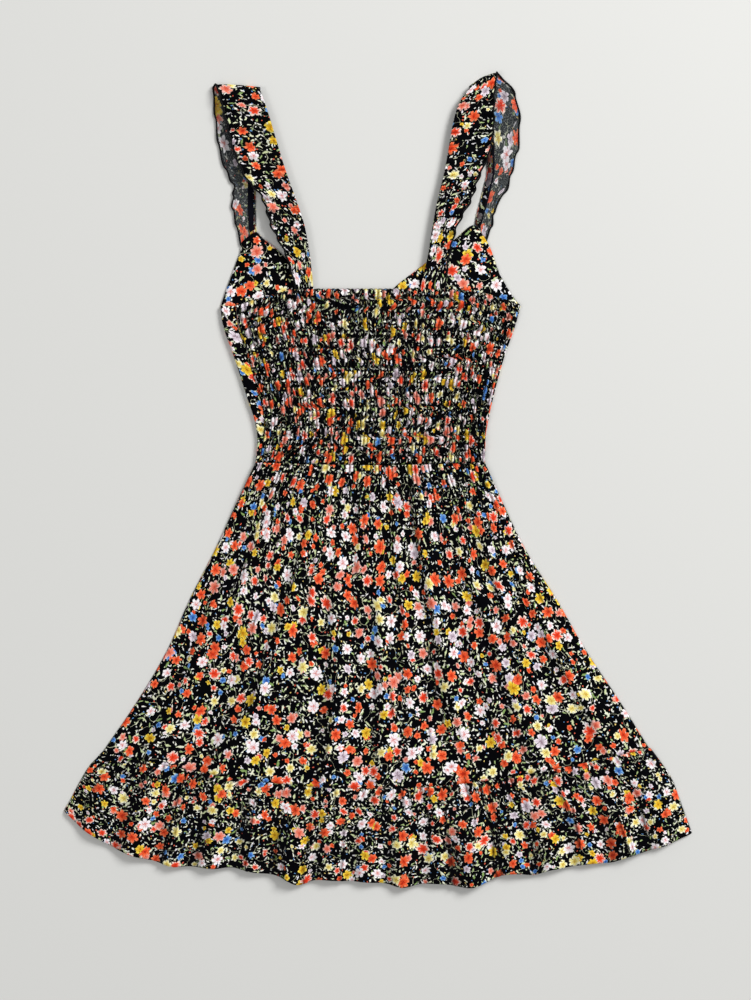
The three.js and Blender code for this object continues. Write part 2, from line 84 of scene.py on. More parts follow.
bodiceSides = {
    "y": [18, 42, 62, 83, 124, 165, 179],
    "left": [-126, -124, -127, -134, -147, -160.5, -162],
    "right": [110, 110.5, 113.5, 118, 129, 143, 146.5],
    "wrap": [3, 6, 10, 13, 14, 15, 15],
}
cupSides = {
    "y": [179, 197, 216, 227, 237, 248],
    "left": [-162, -156, -149, -145, -141.5, -141],
    "right": [146.5, 134, 124, 120, 116.5, 111],
}
frontNeckline = {
    "x": [-141, -125, -120, -101, -80, -62, -23, 23, 54, 80, 99, 111],
    "y": [245, 256, 251, 235, 211, 186, 167, 204, 228, 249, 263, 248],
}
backTopEdge = {
    "x": [-147, -111, -83, 71, 105, 146.5],
    "y": [181, 190, 197, 197, 193, 181],
}
skirtSides = {
    "y": [18, -20, -72, -123, -175, -226, -280],
    "left": [-126, -144, -168, -194, -217, -247, -284],
    "right": [110, 127, 152, 184, 214, 248, 282],
}
flounceSides = {
    "y": [-276, -280, -292, -308, -329, -340, -362],
    "left": [-281, -284, -296, -306, -317, -323, -330],
    "right": [280, 284, 293, 303, 311, 315, 323],
}
hemLine = {
    "x": [-323, -299, -249, -200, -101, -39, 47, 134, 208, 282, 323],
    "y": [-340, -361, -386, -395, -405, -411, -414, -404, -395, -379, -363],
}
hemLobes = {
    "x": [-212, -150, -83, 24, 96, 160, 240],
    "drop": [3, -3, 8, 4, 8, 4, 3],
    "width": [13, 14, 14, 12, 21, 12, 13],
}
skirtFolds = {
    "share": [0.07, 0.13, 0.19, 0.26, 0.33, 0.4, 0.47, 0.52, 0.585, 0.67, 0.745, 0.8, 0.86, 0.93],
    "drift": [0.02, -0.02, 0.02, -0.1, -0.02, 0.02, 0, -0.02, -0.05, -0.03, 0.02, 0.01, -0.1, 0.01],
    "height": [3.2, 2.2, 2.8, 4.2, 2.4, 4.4, 2.6, 4.2, 2.8, 4.8, 3.0, 3.8, 4.0, 3.4],
    "width": [0.022, 0.026, 0.024, 0.026, 0.022, 0.028, 0.024,
              0.026, 0.022, 0.03, 0.024, 0.026, 0.024, 0.02],
    "start": [0.35, 0.1, 0.45, 0.15, 0.3, 0.3, 0, 0.35, 0.2, 0.05, 0.4, 0.25, 0.15, 0.5],
    "end": [1.1, 0.75, 1.1, 1.1, 0.85, 1.1, 0.55,
            1.1, 1.1, 0.95, 1.1, 1.1, 0.8, 1.1],
}
hemWaves = {
    "share": [0.045, 0.11, 0.175, 0.235, 0.3, 0.36, 0.425, 0.485,
              0.545, 0.6, 0.655, 0.72, 0.78, 0.84, 0.9, 0.955],
    "height": [3.5, 5.0, 4.0, 5.5, 3.8, 5.2, 4.4, 4.0, 5.2, 3.6, 6.5, 4.6, 5.4, 4.0, 5.6, 4.2],
    "width": [0.018, 0.022, 0.02, 0.022, 0.02, 0.024, 0.02, 0.018,
              0.022, 0.018, 0.026, 0.02, 0.022, 0.02, 0.022, 0.016],
}
# Sharp creases: where each stands across, and the run from one seam to the next that it takes
skirtCreases = {
    "share": [0.561, 0.527, 0.519, 0.308, 0.353, 0.272, 0.206,
              0.262, 0.248, 0.63, 0.905, 0.74, 0.452, 0.11],
    "start": [0.16, 0.5, 0.66, 0.13, 0.02, 0.3, 0.45, 0.55, 0.72, 0.52, 0.38, 0.1, 0.04, 0.3],
    "end": [0.31, 0.62, 0.82, 0.27, 0.12, 0.47, 0.57,
            0.68, 0.84, 0.76, 0.56, 0.3, 0.2, 0.5],
    "height": [1.9, 1.6, 1.9, 1.9, 1.9, 1.7, 1.5, 1.7, 1.6, 1.8, 1.8, 1.5, 1.6, 1.4],
}
flounceCreases = {
    "share": [0.17, 0.3, 0.358, 0.39, 0.446, 0.585, 0.615, 0.68, 0.831, 0.9],
    "start": [0, 0.1, 0.3, 0.35, 0.3, 0.2, 0.21, 0, 0.36, 0.48],
    "end": [1.1, 1.1, 1.1, 1.1, 1.1, 0.6, 1.1, 1.1, 0.9, 1.1],
    "height": [1.8, 1.5, 1.7, 1.6, 1.7, 1.6, 1.9, 2.0, 1.7, 2.0],
}
strapPaths = {
    "left": {
        "far": {
            "neckX": [-125, -125.5, -126, -126, -126, -124, -121, -121],
            "neckY": [256, 271, 287, 301, 316, 342, 372, 401],
            "freeX": [-141, -147, -150.5, -148.5, -156, -164, -168, -169.5],
            "freeY": [245, 267, 286, 301, 316, 344, 375, 404],
        },
        "near": {
            "neckX": [-121, -112, -103, -94, -84, -75, -70, -66],
            "neckY": [401, 375, 345, 316, 288, 260, 232, 197],
            "freeX": [-165, -158, -150, -138, -118.5, -110, -94.5, -84],
            "freeY": [404, 376, 344, 314, 288, 261, 231, 197],
        },
    },
    "right": {
        "far": {
            "neckX": [99, 101, 104.5, 108.5, 112, 112, 109, 104, 96],
            "neckY": [263, 273, 286, 302, 319, 341, 366, 388, 402],
            "freeX": [110.5, 117.5, 120, 133, 138.5, 144.5, 146, 140, 125],
            "freeY": [248, 263, 277, 300, 319, 342, 373, 400, 416.5],
        },
        "near": {
            "neckX": [93.5, 83, 76, 72, 67, 61, 56, 51, 43],
            "neckY": [401.5, 387, 362, 338, 312, 288, 261, 230, 197],
            "freeX": [122, 119.5, 119, 115, 104.5, 96, 82, 73, 69],
            "freeY": [416.5, 392, 364, 339, 312, 288, 261, 230, 197],
        },
    },
}


def mix(a, b, share):
    return a + (b - a) * share


def smooth(value, low, high):
    t = np.clip((value - low) / (high - low), 0, 1)
    return t * t * (3 - 2 * t)


# A repeatable number from 0 to 1 for each whole number
def scatter(number):
    wave = np.sin(np.asarray(number, float) * 12.9898 + 4.1) * 43758.5453
    return wave - np.floor(wave)


# Reads a column of a table at any place of its first column, as a smooth curve through the rows
def read(table, place, column):
    keys = np.array(next(iter(table.values())), float)
    values = np.array(table[column], float)
    if keys[0] > keys[-1]:
        keys, values = keys[::-1], values[::-1]
    spans = np.diff(keys)
    slopes = np.diff(values) / spans
    before, after = slopes[:-1], slopes[1:]
    turns = before * after <= 0
    inner = np.where(turns, 0, 2 * before * after / np.where(turns, 1, before + after))
    tangents = np.concatenate([slopes[:1], inner, slopes[-1:]])
    row = np.clip(np.searchsorted(keys, place) - 1, 0, len(spans) - 1)
    span = spans[row]
    t = np.clip((place - keys[row]) / span, 0, 1)
    curve = t * t * (3 - 2 * t)
    return (mix(values[row], values[row + 1], curve) + span * t * (1 - t) ** 2 * tangents[row]
            - span * t * t * (1 - t) * tangents[row + 1])


# Adds uneven lumps, given as their height, their two sizes in millimetres and a seed
def addLumps(z, x, y, kinds):
    for height, sizeX, sizeY, seed in kinds:
        places = zip((x / sizeX).ravel(), (y / sizeY).ravel())
        heights = [noise.noise(Vector((a, b, seed))) for a, b in places]
        z = z + height * np.array(heights).reshape(x.shape)
    return z


# How far an edge has rolled down, at a distance from it
def roll(distance, width, drop):
    t = np.clip(1 - distance / width, 0, 1)
    return drop * (1 - np.sqrt(1 - t * t))


def gridShares(across, along):
    share = np.linspace(0, 1, across + 1)[None, :] * np.ones((along + 1, 1))
    run = np.linspace(0, 1, along + 1)[:, None] * np.ones((1, across + 1))
    return share, run


# The tables' Y is moved so that the lowest point of the shirred back is where the frame has it
lowestBack = garment["waistY"] - garment["waistDip"] + garment["seamGap"]
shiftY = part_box("back_bodice")[0].y / mm - lowestBack


def stack(x, y, z):
    return np.stack([x, y + shiftY, z], axis=2)


# Places on the flat cloth, from lengths along the surface, so that a crest and its flanks
# carry as much of the print as they would in cloth
def clothPlaces(points, width, length, offset, flankShare=1.0, run=None):
    across = np.diff(points, axis=1)
    lengths = np.sqrt(across[..., 0] ** 2 + across[..., 1] ** 2 + (flankShare * across[..., 2]) ** 2)
    u = np.concatenate([np.zeros((points.shape[0], 1)), np.cumsum(lengths, axis=1)], axis=1)
    u = u / u[:, -1:]
    widths = np.asarray(width).reshape(-1, 1)
    run = np.linspace(0, 1, points.shape[0])[:, None] if run is None else run
    return np.stack([(u - 0.5) * widths + offset[0], run * length + offset[1] + 0 * u], axis=2)


# Places on the flat cloth of a panel that lies as it was cut, from its unrolled X
def flatPlaces(unrolledX, y, offset):
    return np.stack([unrolledX * mm + offset[0], y * mm + offset[1]], axis=2)


def closeMesh(name, bm):
    mesh = bpy.data.meshes.new(name)
    bm.to_mesh(mesh)
    bm.free()
    return mesh


def addObject(name, data):
    holder = bpy.data.objects.new(name, data)
    bpy.context.scene.collection.objects.link(holder)
    return holder


def addPiece(name, mesh, materials):
    mesh.shade_smooth()
    for material in materials:
        mesh.materials.append(material)
    return addObject(name, mesh)


# A thin shell of cloth in place of a node, over a grid of points in millimetres, with its places on
# the flat cloth and, where given, the painted shade of each point, from 0 to 1, darkest deep in a fold
def layCloth(name, node, points, places, materials, faceDown=False, thickness=garment["shell"],
             paintedShade=None):
    rows, columns = points.shape[0] - 1, points.shape[1] - 1
    bm = bmesh.new()
    bmesh.ops.create_grid(bm, x_segments=columns, y_segments=rows, size=1)
    mesh = closeMesh(name, bm)
    flat = np.zeros(len(mesh.vertices) * 3, np.float32)
    mesh.vertices.foreach_get("co", flat)
    flat = flat.reshape(-1, 3)
    column = np.rint((flat[:, 0] + 1) / 2 * columns).astype(int)
    row = np.rint((flat[:, 1] + 1) / 2 * rows).astype(int)
    mesh.vertices.foreach_set("co", (points[row, column] * mm).astype(np.float32).ravel())
    corners = np.zeros(len(mesh.loops), np.int32)
    mesh.loops.foreach_get("vertex_index", corners)
    uvLayer = mesh.uv_layers.new(name="cloth")
    uvLayer.data.foreach_set("uv", places[row, column][corners].astype(np.float32).ravel())
    # The painted shade goes into the "fold" attribute, which darkens the cloth's colour
    if paintedShade is not None:
        paintedShadeAttribute = mesh.attributes.new("fold", "FLOAT", "POINT")
        paintedShadeAttribute.data.foreach_set("value", np.clip(paintedShade[row, column], 0, 1).astype(np.float32))
    if faceDown:
        mesh.flip_normals()
    piece = addPiece(name, mesh, materials)
    shell = piece.modifiers.new("shell", "SOLIDIFY")
    shell.thickness = thickness * mm
    shell.offset = -1
    shell.material_offset = len(materials) - 1
    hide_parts(node)
    return piece


# A round thread along points in millimetres, with a radius at each point
def layThread(name, points, radii, roundness, material):
    curve = bpy.data.curves.new(name, "CURVE")
    curve.dimensions = "3D"
    curve.bevel_depth = mm
    curve.bevel_resolution = roundness
    curve.use_fill_caps = True
    spline = curve.splines.new("POLY")
    spline.points.add(len(points) - 1)
    spline.points.foreach_set("co", np.column_stack([points * mm, np.ones(len(points))]).ravel())
    spline.points.foreach_set("radius", np.asarray(radii, float))
    holder = addObject(name + "_path", curve)
    mesh = bpy.data.meshes.new_from_object(holder.evaluated_get(bpy.context.evaluated_depsgraph_get()))
    bpy.data.objects.remove(holder)
    mesh.name = name
    mesh.materials.clear()
    return addPiece(name, mesh, [material])


# Points at even lengths along a line of points
def evenly(line, pitch):
    lengths = np.concatenate([[0], np.cumsum(np.linalg.norm(np.diff(line, axis=0), axis=1))])
    count = max(2, int(lengths[-1] / pitch))
    at = np.linspace(0, lengths[-1], count + 1)
    return np.stack([np.interp(at, lengths, line[:, axis]) for axis in range(3)], axis=1)


# Separate short stitches along lines of points, all in one mesh
def layStitches(name, lines, settings, material):
    bm = bmesh.new()
    size = Matrix.Diagonal((settings["length"] / 2, settings["radius"], settings["radius"], 1))
    for line in lines:
        even = evenly(line, settings["pitch"])
        for start, end in zip(even[:-1], even[1:]):
            turn = Vector(end - start).to_track_quat("X", "Z").to_matrix().to_4x4()
            place = Matrix.Translation((start + end) / 2)
            bmesh.ops.create_icosphere(bm, subdivisions=1, radius=1, matrix=place @ turn @ size)
    bmesh.ops.scale(bm, verts=bm.verts, vec=(mm, mm, mm))
    return addPiece(name, closeMesh(name, bm), [material])


print("materials")


def linear(red, green, blue):
    def channel(value):
        value = value / 255
        return value / 12.92 if value <= 0.04045 else ((value + 0.055) / 1.055) ** 2.4
    return (channel(red), channel(green), channel(blue), 1)


# A group's inputs have a default each, and a socket's label says its kind
def newGroup(name, inputs, outputs):
    tree = bpy.data.node_groups.new(name, "ShaderNodeTree")
    kinds = {"Vector": "NodeSocketVector", "Color": "NodeSocketColor"}
    for way, labels in (("INPUT", inputs), ("OUTPUT", outputs)):
        for label in labels:
            kind = kinds.get(label, "NodeSocketFloat")
            socket = tree.interface.new_socket(name=label, in_out=way, socket_type=kind)
            if way == "INPUT" and inputs[label] is not None:
                socket.default_value = inputs[label]
    return tree, tree.nodes.new("NodeGroupInput").outputs, tree.nodes.new("NodeGroupOutput").inputs


# Gives each socket its value, or links it to another node's output
def plug(tree, sockets, values):
    for label, value in values.items():
        if isinstance(value, bpy.types.NodeSocket):
            tree.links.new(value, sockets[label])
        else:
            sockets[label].default_value = value


def addNode(tree, kind, inputs, **settings):
    node = tree.nodes.new("ShaderNode" + kind)
    for label, value in settings.items():
        setattr(node, label, value)
    plug(tree, node.inputs, inputs)
    return node.outputs


def calc(tree, operation, *values, clamp=False):
    return addNode(tree, "Math", dict(enumerate(values)), operation=operation, use_clamp=clamp)[0]


def vectorCalc(tree, operation, *values):
    return addNode(tree, "VectorMath", dict(enumerate(values)), operation=operation)[0]


def scaled(tree, vector, factor):
    return addNode(tree, "VectorMath", {0: vector, "Scale": factor}, operation="SCALE")[0]


def blend(tree, factor, under, over):
    return addNode(tree, "Mix", {0: factor, 6: under, 7: over}, data_type="RGBA")[2]


# The colour of one kind for each stretch of a tone from 0 to 1, given with the stretches' shares
def steps(tree, tone, colours):
    ramp = tree.nodes.new("ShaderNodeValToRGB")
    ramp.color_ramp.interpolation = "CONSTANT"
    stops = ramp.color_ramp.elements
    while len(stops) < len(colours):
        stops.new(0.5)
    start = 0
    for stop, (part, colour) in zip(stops, colours):
        stop.position = start
        stop.color = linear(*colour)
        start += part
    plug(tree, ramp.inputs, {0: tone})
    return ramp.outputs[0]


def fineNoise(tree, vector, scale, detail=2.0, distortion=0.0):
    inputs = {"Vector": vector, "Scale": scale, "Detail": detail, "Distortion": distortion}
    return addNode(tree, "TexNoise", inputs, noise_dimensions="2D")


# One motif in each cell of a scattered pattern: the place from its middle, turned by chance, and
# three random numbers
def scatteredCells(tree, given):
    moved = vectorCalc(tree, "ADD", given["Vector"], scaled(tree, (0.731, 0.417, 0), given["Seed"]))
    inputs = {"Vector": moved, "Scale": calc(tree, "DIVIDE", 1.0, given["Cell"]), "Randomness": 0.85}
    cells = addNode(tree, "TexVoronoi", inputs, voronoi_dimensions="2D")
    local = vectorCalc(tree, "SUBTRACT", moved, cells["Position"])
    chance = addNode(tree, "SeparateColor", {0: cells["Color"]})
    inputs = {"Vector": local, "Angle": calc(tree, "MULTIPLY", chance[2], 6.28)}
    return addNode(tree, "VectorRotate", inputs, rotation_type="Z_AXIS")[0], chance


def makeFlowerGroup():
    tree, given, out = newGroup(
        "scattered flowers",
        {"Vector": None, "Cell": 0.016, "Seed": 1.0, "Radius": 0.006, "Petals": 5.0, "Notch": 0.35,
         "Fill": 0.8},
        ["Mask", "Radial", "Petal", "Stroke", "Tone"])
    local, chance = scatteredCells(tree, given)
    # Some flowers are seen a little from the side
    tilt = addNode(tree, "CombineXYZ", {0: calc(tree, "MULTIPLY_ADD", chance[1], 0.45, 0.9), 1: 1.0})[0]
    tilted = vectorCalc(tree, "MULTIPLY", local, tilt)
    distance = addNode(tree, "VectorMath", {0: tilted}, operation="LENGTH")["Value"]
    apart = addNode(tree, "SeparateXYZ", {0: tilted})
    angle = calc(tree, "ARCTAN2", apart[1], apart[0])
    turns = calc(tree, "MULTIPLY", angle, calc(tree, "MULTIPLY", given["Petals"], 0.5))
    lobe = calc(tree, "ABSOLUTE", calc(tree, "COSINE", turns))
    large = calc(tree, "FRACT", calc(tree, "MULTIPLY", chance[1], 5.7))
    size = calc(tree, "MULTIPLY", given["Radius"], calc(tree, "MULTIPLY_ADD", large, 0.45, 0.75))
    outward = calc(tree, "MULTIPLY", calc(tree, "DIVIDE", distance, size), 0.45)
    around = calc(tree, "MULTIPLY_ADD", chance[0], 40.0, angle)
    stroke = fineNoise(tree, addNode(tree, "CombineXYZ", {0: around, 1: outward})[0], 3.4)[0]
    dip = calc(tree, "SUBTRACT", 1.0, calc(tree, "POWER", lobe, 0.6))
    dip = calc(tree, "MULTIPLY", given["Notch"], dip)
    ragged = calc(tree, "MULTIPLY_ADD", stroke, 0.36, -0.18)
    edge = calc(tree, "MULTIPLY", size, calc(tree, "ADD", calc(tree, "SUBTRACT", 1.0, dip), ragged))
    inside = calc(tree, "MULTIPLY_ADD", calc(tree, "SUBTRACT", edge, distance), 4500.0, 0.5, clamp=True)
    draw = calc(tree, "FRACT", calc(tree, "MULTIPLY", chance[2], 7.3))
    chosen = calc(tree, "LESS_THAN", draw, given["Fill"])
    plug(tree, out, {"Mask": calc(tree, "MULTIPLY", inside, chosen), "Petal": lobe, "Stroke": stroke,
                     "Radial": calc(tree, "DIVIDE", distance, edge), "Tone": chance[0]})
    return tree


def makeLeafGroup():
    tree, given, out = newGroup(
        "scattered leaves",
        {"Vector": None, "Cell": 0.006, "Seed": 1.0, "Length": 0.002, "Width": 0.0008, "Fill": 0.8},
        ["Mask", "Tone"])
    local, chance = scatteredCells(tree, given)
    apart = addNode(tree, "SeparateXYZ", {0: local})
    along = calc(tree, "DIVIDE", apart[0], given["Length"])
    taper = calc(tree, "SUBTRACT", 1.0, calc(tree, "MULTIPLY", along, along))
    breadth = calc(tree, "MULTIPLY", given["Width"], taper)
    gap = calc(tree, "SUBTRACT", breadth, calc(tree, "ABSOLUTE", apart[1]))
    inside = calc(tree, "MULTIPLY_ADD", gap, 6000.0, 0.4, clamp=True)
    chosen = calc(tree, "LESS_THAN", chance[1], given["Fill"])
    plug(tree, out, {"Mask": calc(tree, "MULTIPLY", inside, chosen), "Tone": chance[0]})
    return tree


# Colours of the flowers' tips, bodies and hearts, and the share of each kind in the three sizes
flowerTones = {
    "tips": [(248, 134, 92), (252, 226, 212), (240, 190, 180), (254, 252, 253), (243, 234, 242),
             (253, 250, 224), (252, 226, 92), (148, 196, 242)],
    "bodies": [(240, 86, 44), (236, 74, 40), (232, 128, 104), (242, 233, 238), (218, 203, 214),
               (242, 230, 140), (228, 180, 40), (66, 124, 204)],
    "hearts": [(176, 30, 18), (196, 38, 22), (204, 64, 44), (212, 104, 92), (140, 116, 128),
               (192, 146, 30), (150, 88, 14), (28, 58, 138)],
}
flowerLayers = [
    ([0.3, 0.04, 0.1, 0.1, 0.08, 0.1, 0.08, 0.2],
     {"Cell": 0.0145, "Seed": 5.3, "Radius": 0.0031, "Petals": 5.0, "Notch": 0.35, "Fill": 0.42}),
    ([0.24, 0.13, 0.13, 0.15, 0.06, 0.09, 0.13, 0.07],
     {"Cell": 0.0172, "Seed": 2.9, "Radius": 0.0052, "Petals": 5.0, "Notch": 0.5, "Fill": 0.52}),
    ([0.27, 0.17, 0.06, 0.2, 0.06, 0.13, 0.11, 0.0],
     {"Cell": 0.0202, "Seed": 1.7, "Radius": 0.0067, "Petals": 6.0, "Notch": 0.5, "Fill": 0.64}),
]
# Dots, leaves and sprigs, each kind with the shares of its colours
leafLayers = [
    ([(0.5, (240, 240, 232)), (0.2, (196, 208, 168)), (0.12, (232, 104, 80)), (0.1, (104, 152, 206)),
      (0.08, (236, 206, 120))],
     {"Cell": 0.0042, "Seed": 8.1, "Length": 0.0010, "Width": 0.0006, "Fill": 0.48}),
    ([(0.34, (226, 229, 196)), (0.32, (245, 245, 232)), (0.18, (170, 192, 130)), (0.16, (238, 235, 238))],
     {"Cell": 0.0062, "Seed": 3.7, "Length": 0.0026, "Width": 0.0007, "Fill": 0.62}),
    ([(0.5, (206, 216, 168)), (0.3, (232, 235, 208)), (0.2, (134, 162, 96))],
     {"Cell": 0.0118, "Seed": 6.2, "Length": 0.0038, "Width": 0.0011, "Fill": 0.3}),
]


# The small flower print, read on the flat cloth in metres
def makePrintGroup():
    flowerGroup, leafGroup = makeFlowerGroup(), makeLeafGroup()
    tree, given, out = newGroup("small flower print", {"Vector": None}, ["Color", "Motif"])
    wobble = fineNoise(tree, given["Vector"], 330.0)["Color"]
    pushed = scaled(tree, vectorCalc(tree, "SUBTRACT", wobble, (0.5, 0.5, 0.5)), 0.0028)
    painted = vectorCalc(tree, "ADD", given["Vector"], pushed)
    stem = fineNoise(tree, given["Vector"], 75.0, 0.0, 0.3)[0]
    patch = fineNoise(tree, given["Vector"], 40.0, 0.0)[0]
    line = calc(tree, "LESS_THAN", calc(tree, "ABSOLUTE", calc(tree, "SUBTRACT", stem, 0.5)), 0.007)
    line = calc(tree, "MULTIPLY", line, calc(tree, "GREATER_THAN", patch, 0.52))
    colour = blend(tree, line, linear(1, 1, 4), linear(206, 208, 176))
    for tones, sockets in leafLayers:
        leaf = addNode(tree, "Group", {"Vector": painted, **sockets}, node_tree=leafGroup)
        colour = blend(tree, leaf["Mask"], colour, steps(tree, leaf["Tone"], tones))
    motif = 0.0
    for shares, sockets in flowerLayers:
        flower = addNode(tree, "Group", {"Vector": painted, **sockets}, node_tree=flowerGroup)
        tips, bodies, hearts = (
            steps(tree, flower["Tone"], [pair for pair in zip(shares, tones) if pair[0]])
            for tones in flowerTones.values())
        streak = calc(tree, "MULTIPLY_ADD", flower["Stroke"], 1.5, -0.75)
        reach = calc(tree, "ADD", flower["Radial"], streak)
        petals = blend(tree, calc(tree, "MULTIPLY_ADD", reach, 4.0, -2.6, clamp=True), bodies, tips)
        vein = calc(tree, "MULTIPLY", calc(tree, "LESS_THAN", flower["Petal"], 0.24), 0.6)
        petals = blend(tree, vein, petals, hearts)
        inHeart = calc(tree, "MULTIPLY", calc(tree, "LESS_THAN", reach, 0.3), 0.85)
        petals = blend(tree, inHeart, petals, hearts)
        colour = blend(tree, flower["Mask"], colour, petals)
        motif = calc(tree, "MAXIMUM", motif, flower["Mask"])
    plug(tree, out, {"Color": colour, "Motif": motif})
    return tree


# The pebbled face of crepe, with faint long creases
def makeCrepeGroup():
    tree, given, out = newGroup("crepe grain", {"Vector": None}, ["Height"])
    pebble = fineNoise(tree, given["Vector"], 1500.0)[0]
    stretched = vectorCalc(tree, "MULTIPLY", given["Vector"], (1.0, 0.22, 1.0))
    crease = fineNoise(tree, stretched, 420.0, 2.0, 0.3)[0]
    plug(tree, out, {"Height": calc(tree, "MULTIPLY_ADD", crease, 2.2, pebble)})
    return tree


# Painted shade: the colour darkens with the "fold" attribute, as little light reaches the bottom of a
# tight fold
def makeFoldShadeGroup():
    tree, given, out = newGroup("fold shade", {"Color": None, "Strength": 0.84}, ["Color"])
    paintedShadeAttribute = addNode(tree, "Attribute", {}, attribute_name="fold")["Fac"]
    shade = calc(tree, "MULTIPLY", paintedShadeAttribute, given["Strength"])
    plug(tree, out, {"Color": blend(tree, shade, given["Color"], (0.001, 0.001, 0.002, 1))})
    return tree


def newMaterial(name, roughness, sheen):
    material = bpy.data.materials.new(name)
    material.use_nodes = True
    tree = material.node_tree
    sockets = tree.nodes["Principled BSDF"].inputs
    plug(tree, sockets, {"Roughness": roughness, "Sheen Weight": sheen, "Sheen Roughness": 0.4,
                         "Specular IOR Level": 0.045})
    return material, tree, sockets


def addFinish(tree, sockets, colour, height, distance, strength=1.0):
    bump = addNode(tree, "Bump", {"Height": height, "Distance": distance, "Strength": strength})[0]
    plug(tree, sockets, {"Base Color": colour, "Normal": bump})


def makeCrepe(name, groups, reverse=False):
    material, tree, sockets = newMaterial(name, 0.82, 0.005)
    place = addNode(tree, "UVMap", {}, uv_map="cloth")[0]
    pattern = addNode(tree, "Group", {"Vector": place}, node_tree=groups["print"])
    colour = pattern["Color"]
    if reverse:
        # The dye comes through unevenly, the flowers more than the ground, which is a dull grey
        through = fineNoise(tree, place, 130.0)[0]
        fade = calc(tree, "MULTIPLY_ADD", pattern["Motif"], -0.4, 0.24)
        fade = calc(tree, "MULTIPLY_ADD", through, 0.8, fade, clamp=True)
        colour = blend(tree, fade, colour, linear(56, 60, 62))
        speckle = fineNoise(tree, place, 1100.0, 1.0)[0]
        flecks = calc(tree, "MULTIPLY", calc(tree, "GREATER_THAN", speckle, 0.6), 0.4)
        colour = blend(tree, flecks, colour, linear(160, 164, 162))
    # Painted shade in the folds and valleys, from the "fold" attribute
    shaded = addNode(tree, "Group", {"Color": colour}, node_tree=groups["fold"])[0]
    grain = addNode(tree, "Group", {"Vector": place}, node_tree=groups["grain"])[0]
    addFinish(tree, sockets, shaded, grain, 0.00025, 0.8)
    return material


# The ruffle's turned edge covers the outer part of the elastic, up to the given width in metres
def makeElastic(name, groups, covered):
    material, tree, sockets = newMaterial(name, 0.72, 0.05)
    place = addNode(tree, "UVMap", {}, uv_map="cloth")[0]
    apart = addNode(tree, "SeparateXYZ", {0: place})
    ribs, picks = (calc(tree, "SINE", calc(tree, "MULTIPLY", apart[axis], 2 * math.pi / pitch))
                   for axis, pitch in ((0, 0.0012), (1, 0.0009)))
    height = calc(tree, "MULTIPLY_ADD", picks, 0.5, ribs)
    # Painted light and shade: the ribs' tops are coloured lighter and their grooves darker, following the
    # bump's height
    lift = calc(tree, "MULTIPLY_ADD", height, 0.25, 0.4, clamp=True)
    colour = blend(tree, lift, linear(2, 2, 8), linear(17, 16, 32))
    # Painted shade on the turned edge's print, darker on the flowers than on the ground
    pattern = addNode(tree, "Group", {"Vector": place}, node_tree=groups["print"])
    turnedEdgeShade = calc(tree, "MULTIPLY_ADD", pattern["Motif"], 0.42, 0.45)
    shaded = blend(tree, turnedEdgeShade, pattern["Color"], linear(2, 2, 5))
    stray = fineNoise(tree, place, 260.0, 1.0)[0]
    width = calc(tree, "MULTIPLY_ADD", stray, 0.002, apart[0])
    turned = calc(tree, "LESS_THAN", width, covered + 0.001)
    colour = blend(tree, turned, colour, shaded)
    addFinish(tree, sockets, colour, calc(tree, "MULTIPLY_ADD", turned, 3.0, height), 0.00015)
    return material


def makeThread():
    material, tree, sockets = newMaterial("black thread", 0.55, 0.15)
    place = addNode(tree, "TexCoord", {})["Object"]
    strands = addNode(tree, "TexNoise", {"Vector": place, "Scale": 2600.0})[0]
    colour = blend(tree, strands, linear(2, 2, 3), linear(16, 16, 20))
    addFinish(tree, sockets, colour, strands, 0.0001)
    return material


crepeGroups = {"print": makePrintGroup(), "grain": makeCrepeGroup(), "fold": makeFoldShadeGroup()}
bothSides = [makeCrepe("printed crepe", crepeGroups),
             makeCrepe("printed crepe, wrong side", crepeGroups, reverse=True)]
elastics = {"left": makeElastic("navy elastic", crepeGroups, 0.0012),
            "right": makeElastic("navy elastic under a turned edge", crepeGroups, 0.0052)}
blackThread = makeThread()


# Shapes that the panels share
def waistAt(x):
    left, right = bodiceSides["left"][0], bodiceSides["right"][0]
    share = np.clip((x - left) / (right - left), 0, 1)
    return garment["waistY"] - garment["waistDip"] * np.sin(math.pi * share)


def seamY(share):
    level = mix(garment["seamLeftY"], garment["seamRightY"], share)
    return level - garment["seamDip"] * np.sin(math.pi * share)


# X at a share across between the two sides in a table, each at its own height
def between(table, leftY, rightY, share):
    return mix(read(table, leftY, "left"), read(table, rightY, "right"), share)


def skirtPoint(share, run):
    leftY, rightY = (mix(garment["waistY"], garment[end], run) for end in ("seamLeftY", "seamRightY"))
    x = between(skirtSides, leftY, rightY, share)
    return x, mix(waistAt(x), seamY(share), run)


def hemY(x):
    y = read(hemLine, x, "y")
    for at, drop, width in zip(hemLobes["x"], hemLobes["drop"], hemLobes["width"]):
        y = y - drop * np.exp(-(((x - at) / width) ** 2))
    return y


def flouncePoint(share, run):
    leftY = mix(garment["seamLeftY"], hemLine["y"][0], run)
    rightY = mix(garment["seamRightY"], hemLine["y"][-1], run)
    x = between(flounceSides, leftY, rightY, share)
    hem = hemY(mix(hemLine["x"][0], hemLine["x"][-1], share))
    return x, mix(seamY(share) - garment["seamGap"], hem, run)


# How much of a fold or crease there is along its run
def partAlong(run, start, end, before, after, fade):
    return smooth(run, start - before, start + after) * (1 - smooth(run, end - fade, end))


foldEnds = {"before": 0.15, "after": 0.2, "fade": 0.25}


def foldProfiles(share, run):
    for at, drift, height, width, start, end in zip(*skirtFolds.values()):
        offset = (share - at - drift * (run - 0.5)) / width
        yield offset, height * partAlong(run, start, end, **foldEnds)


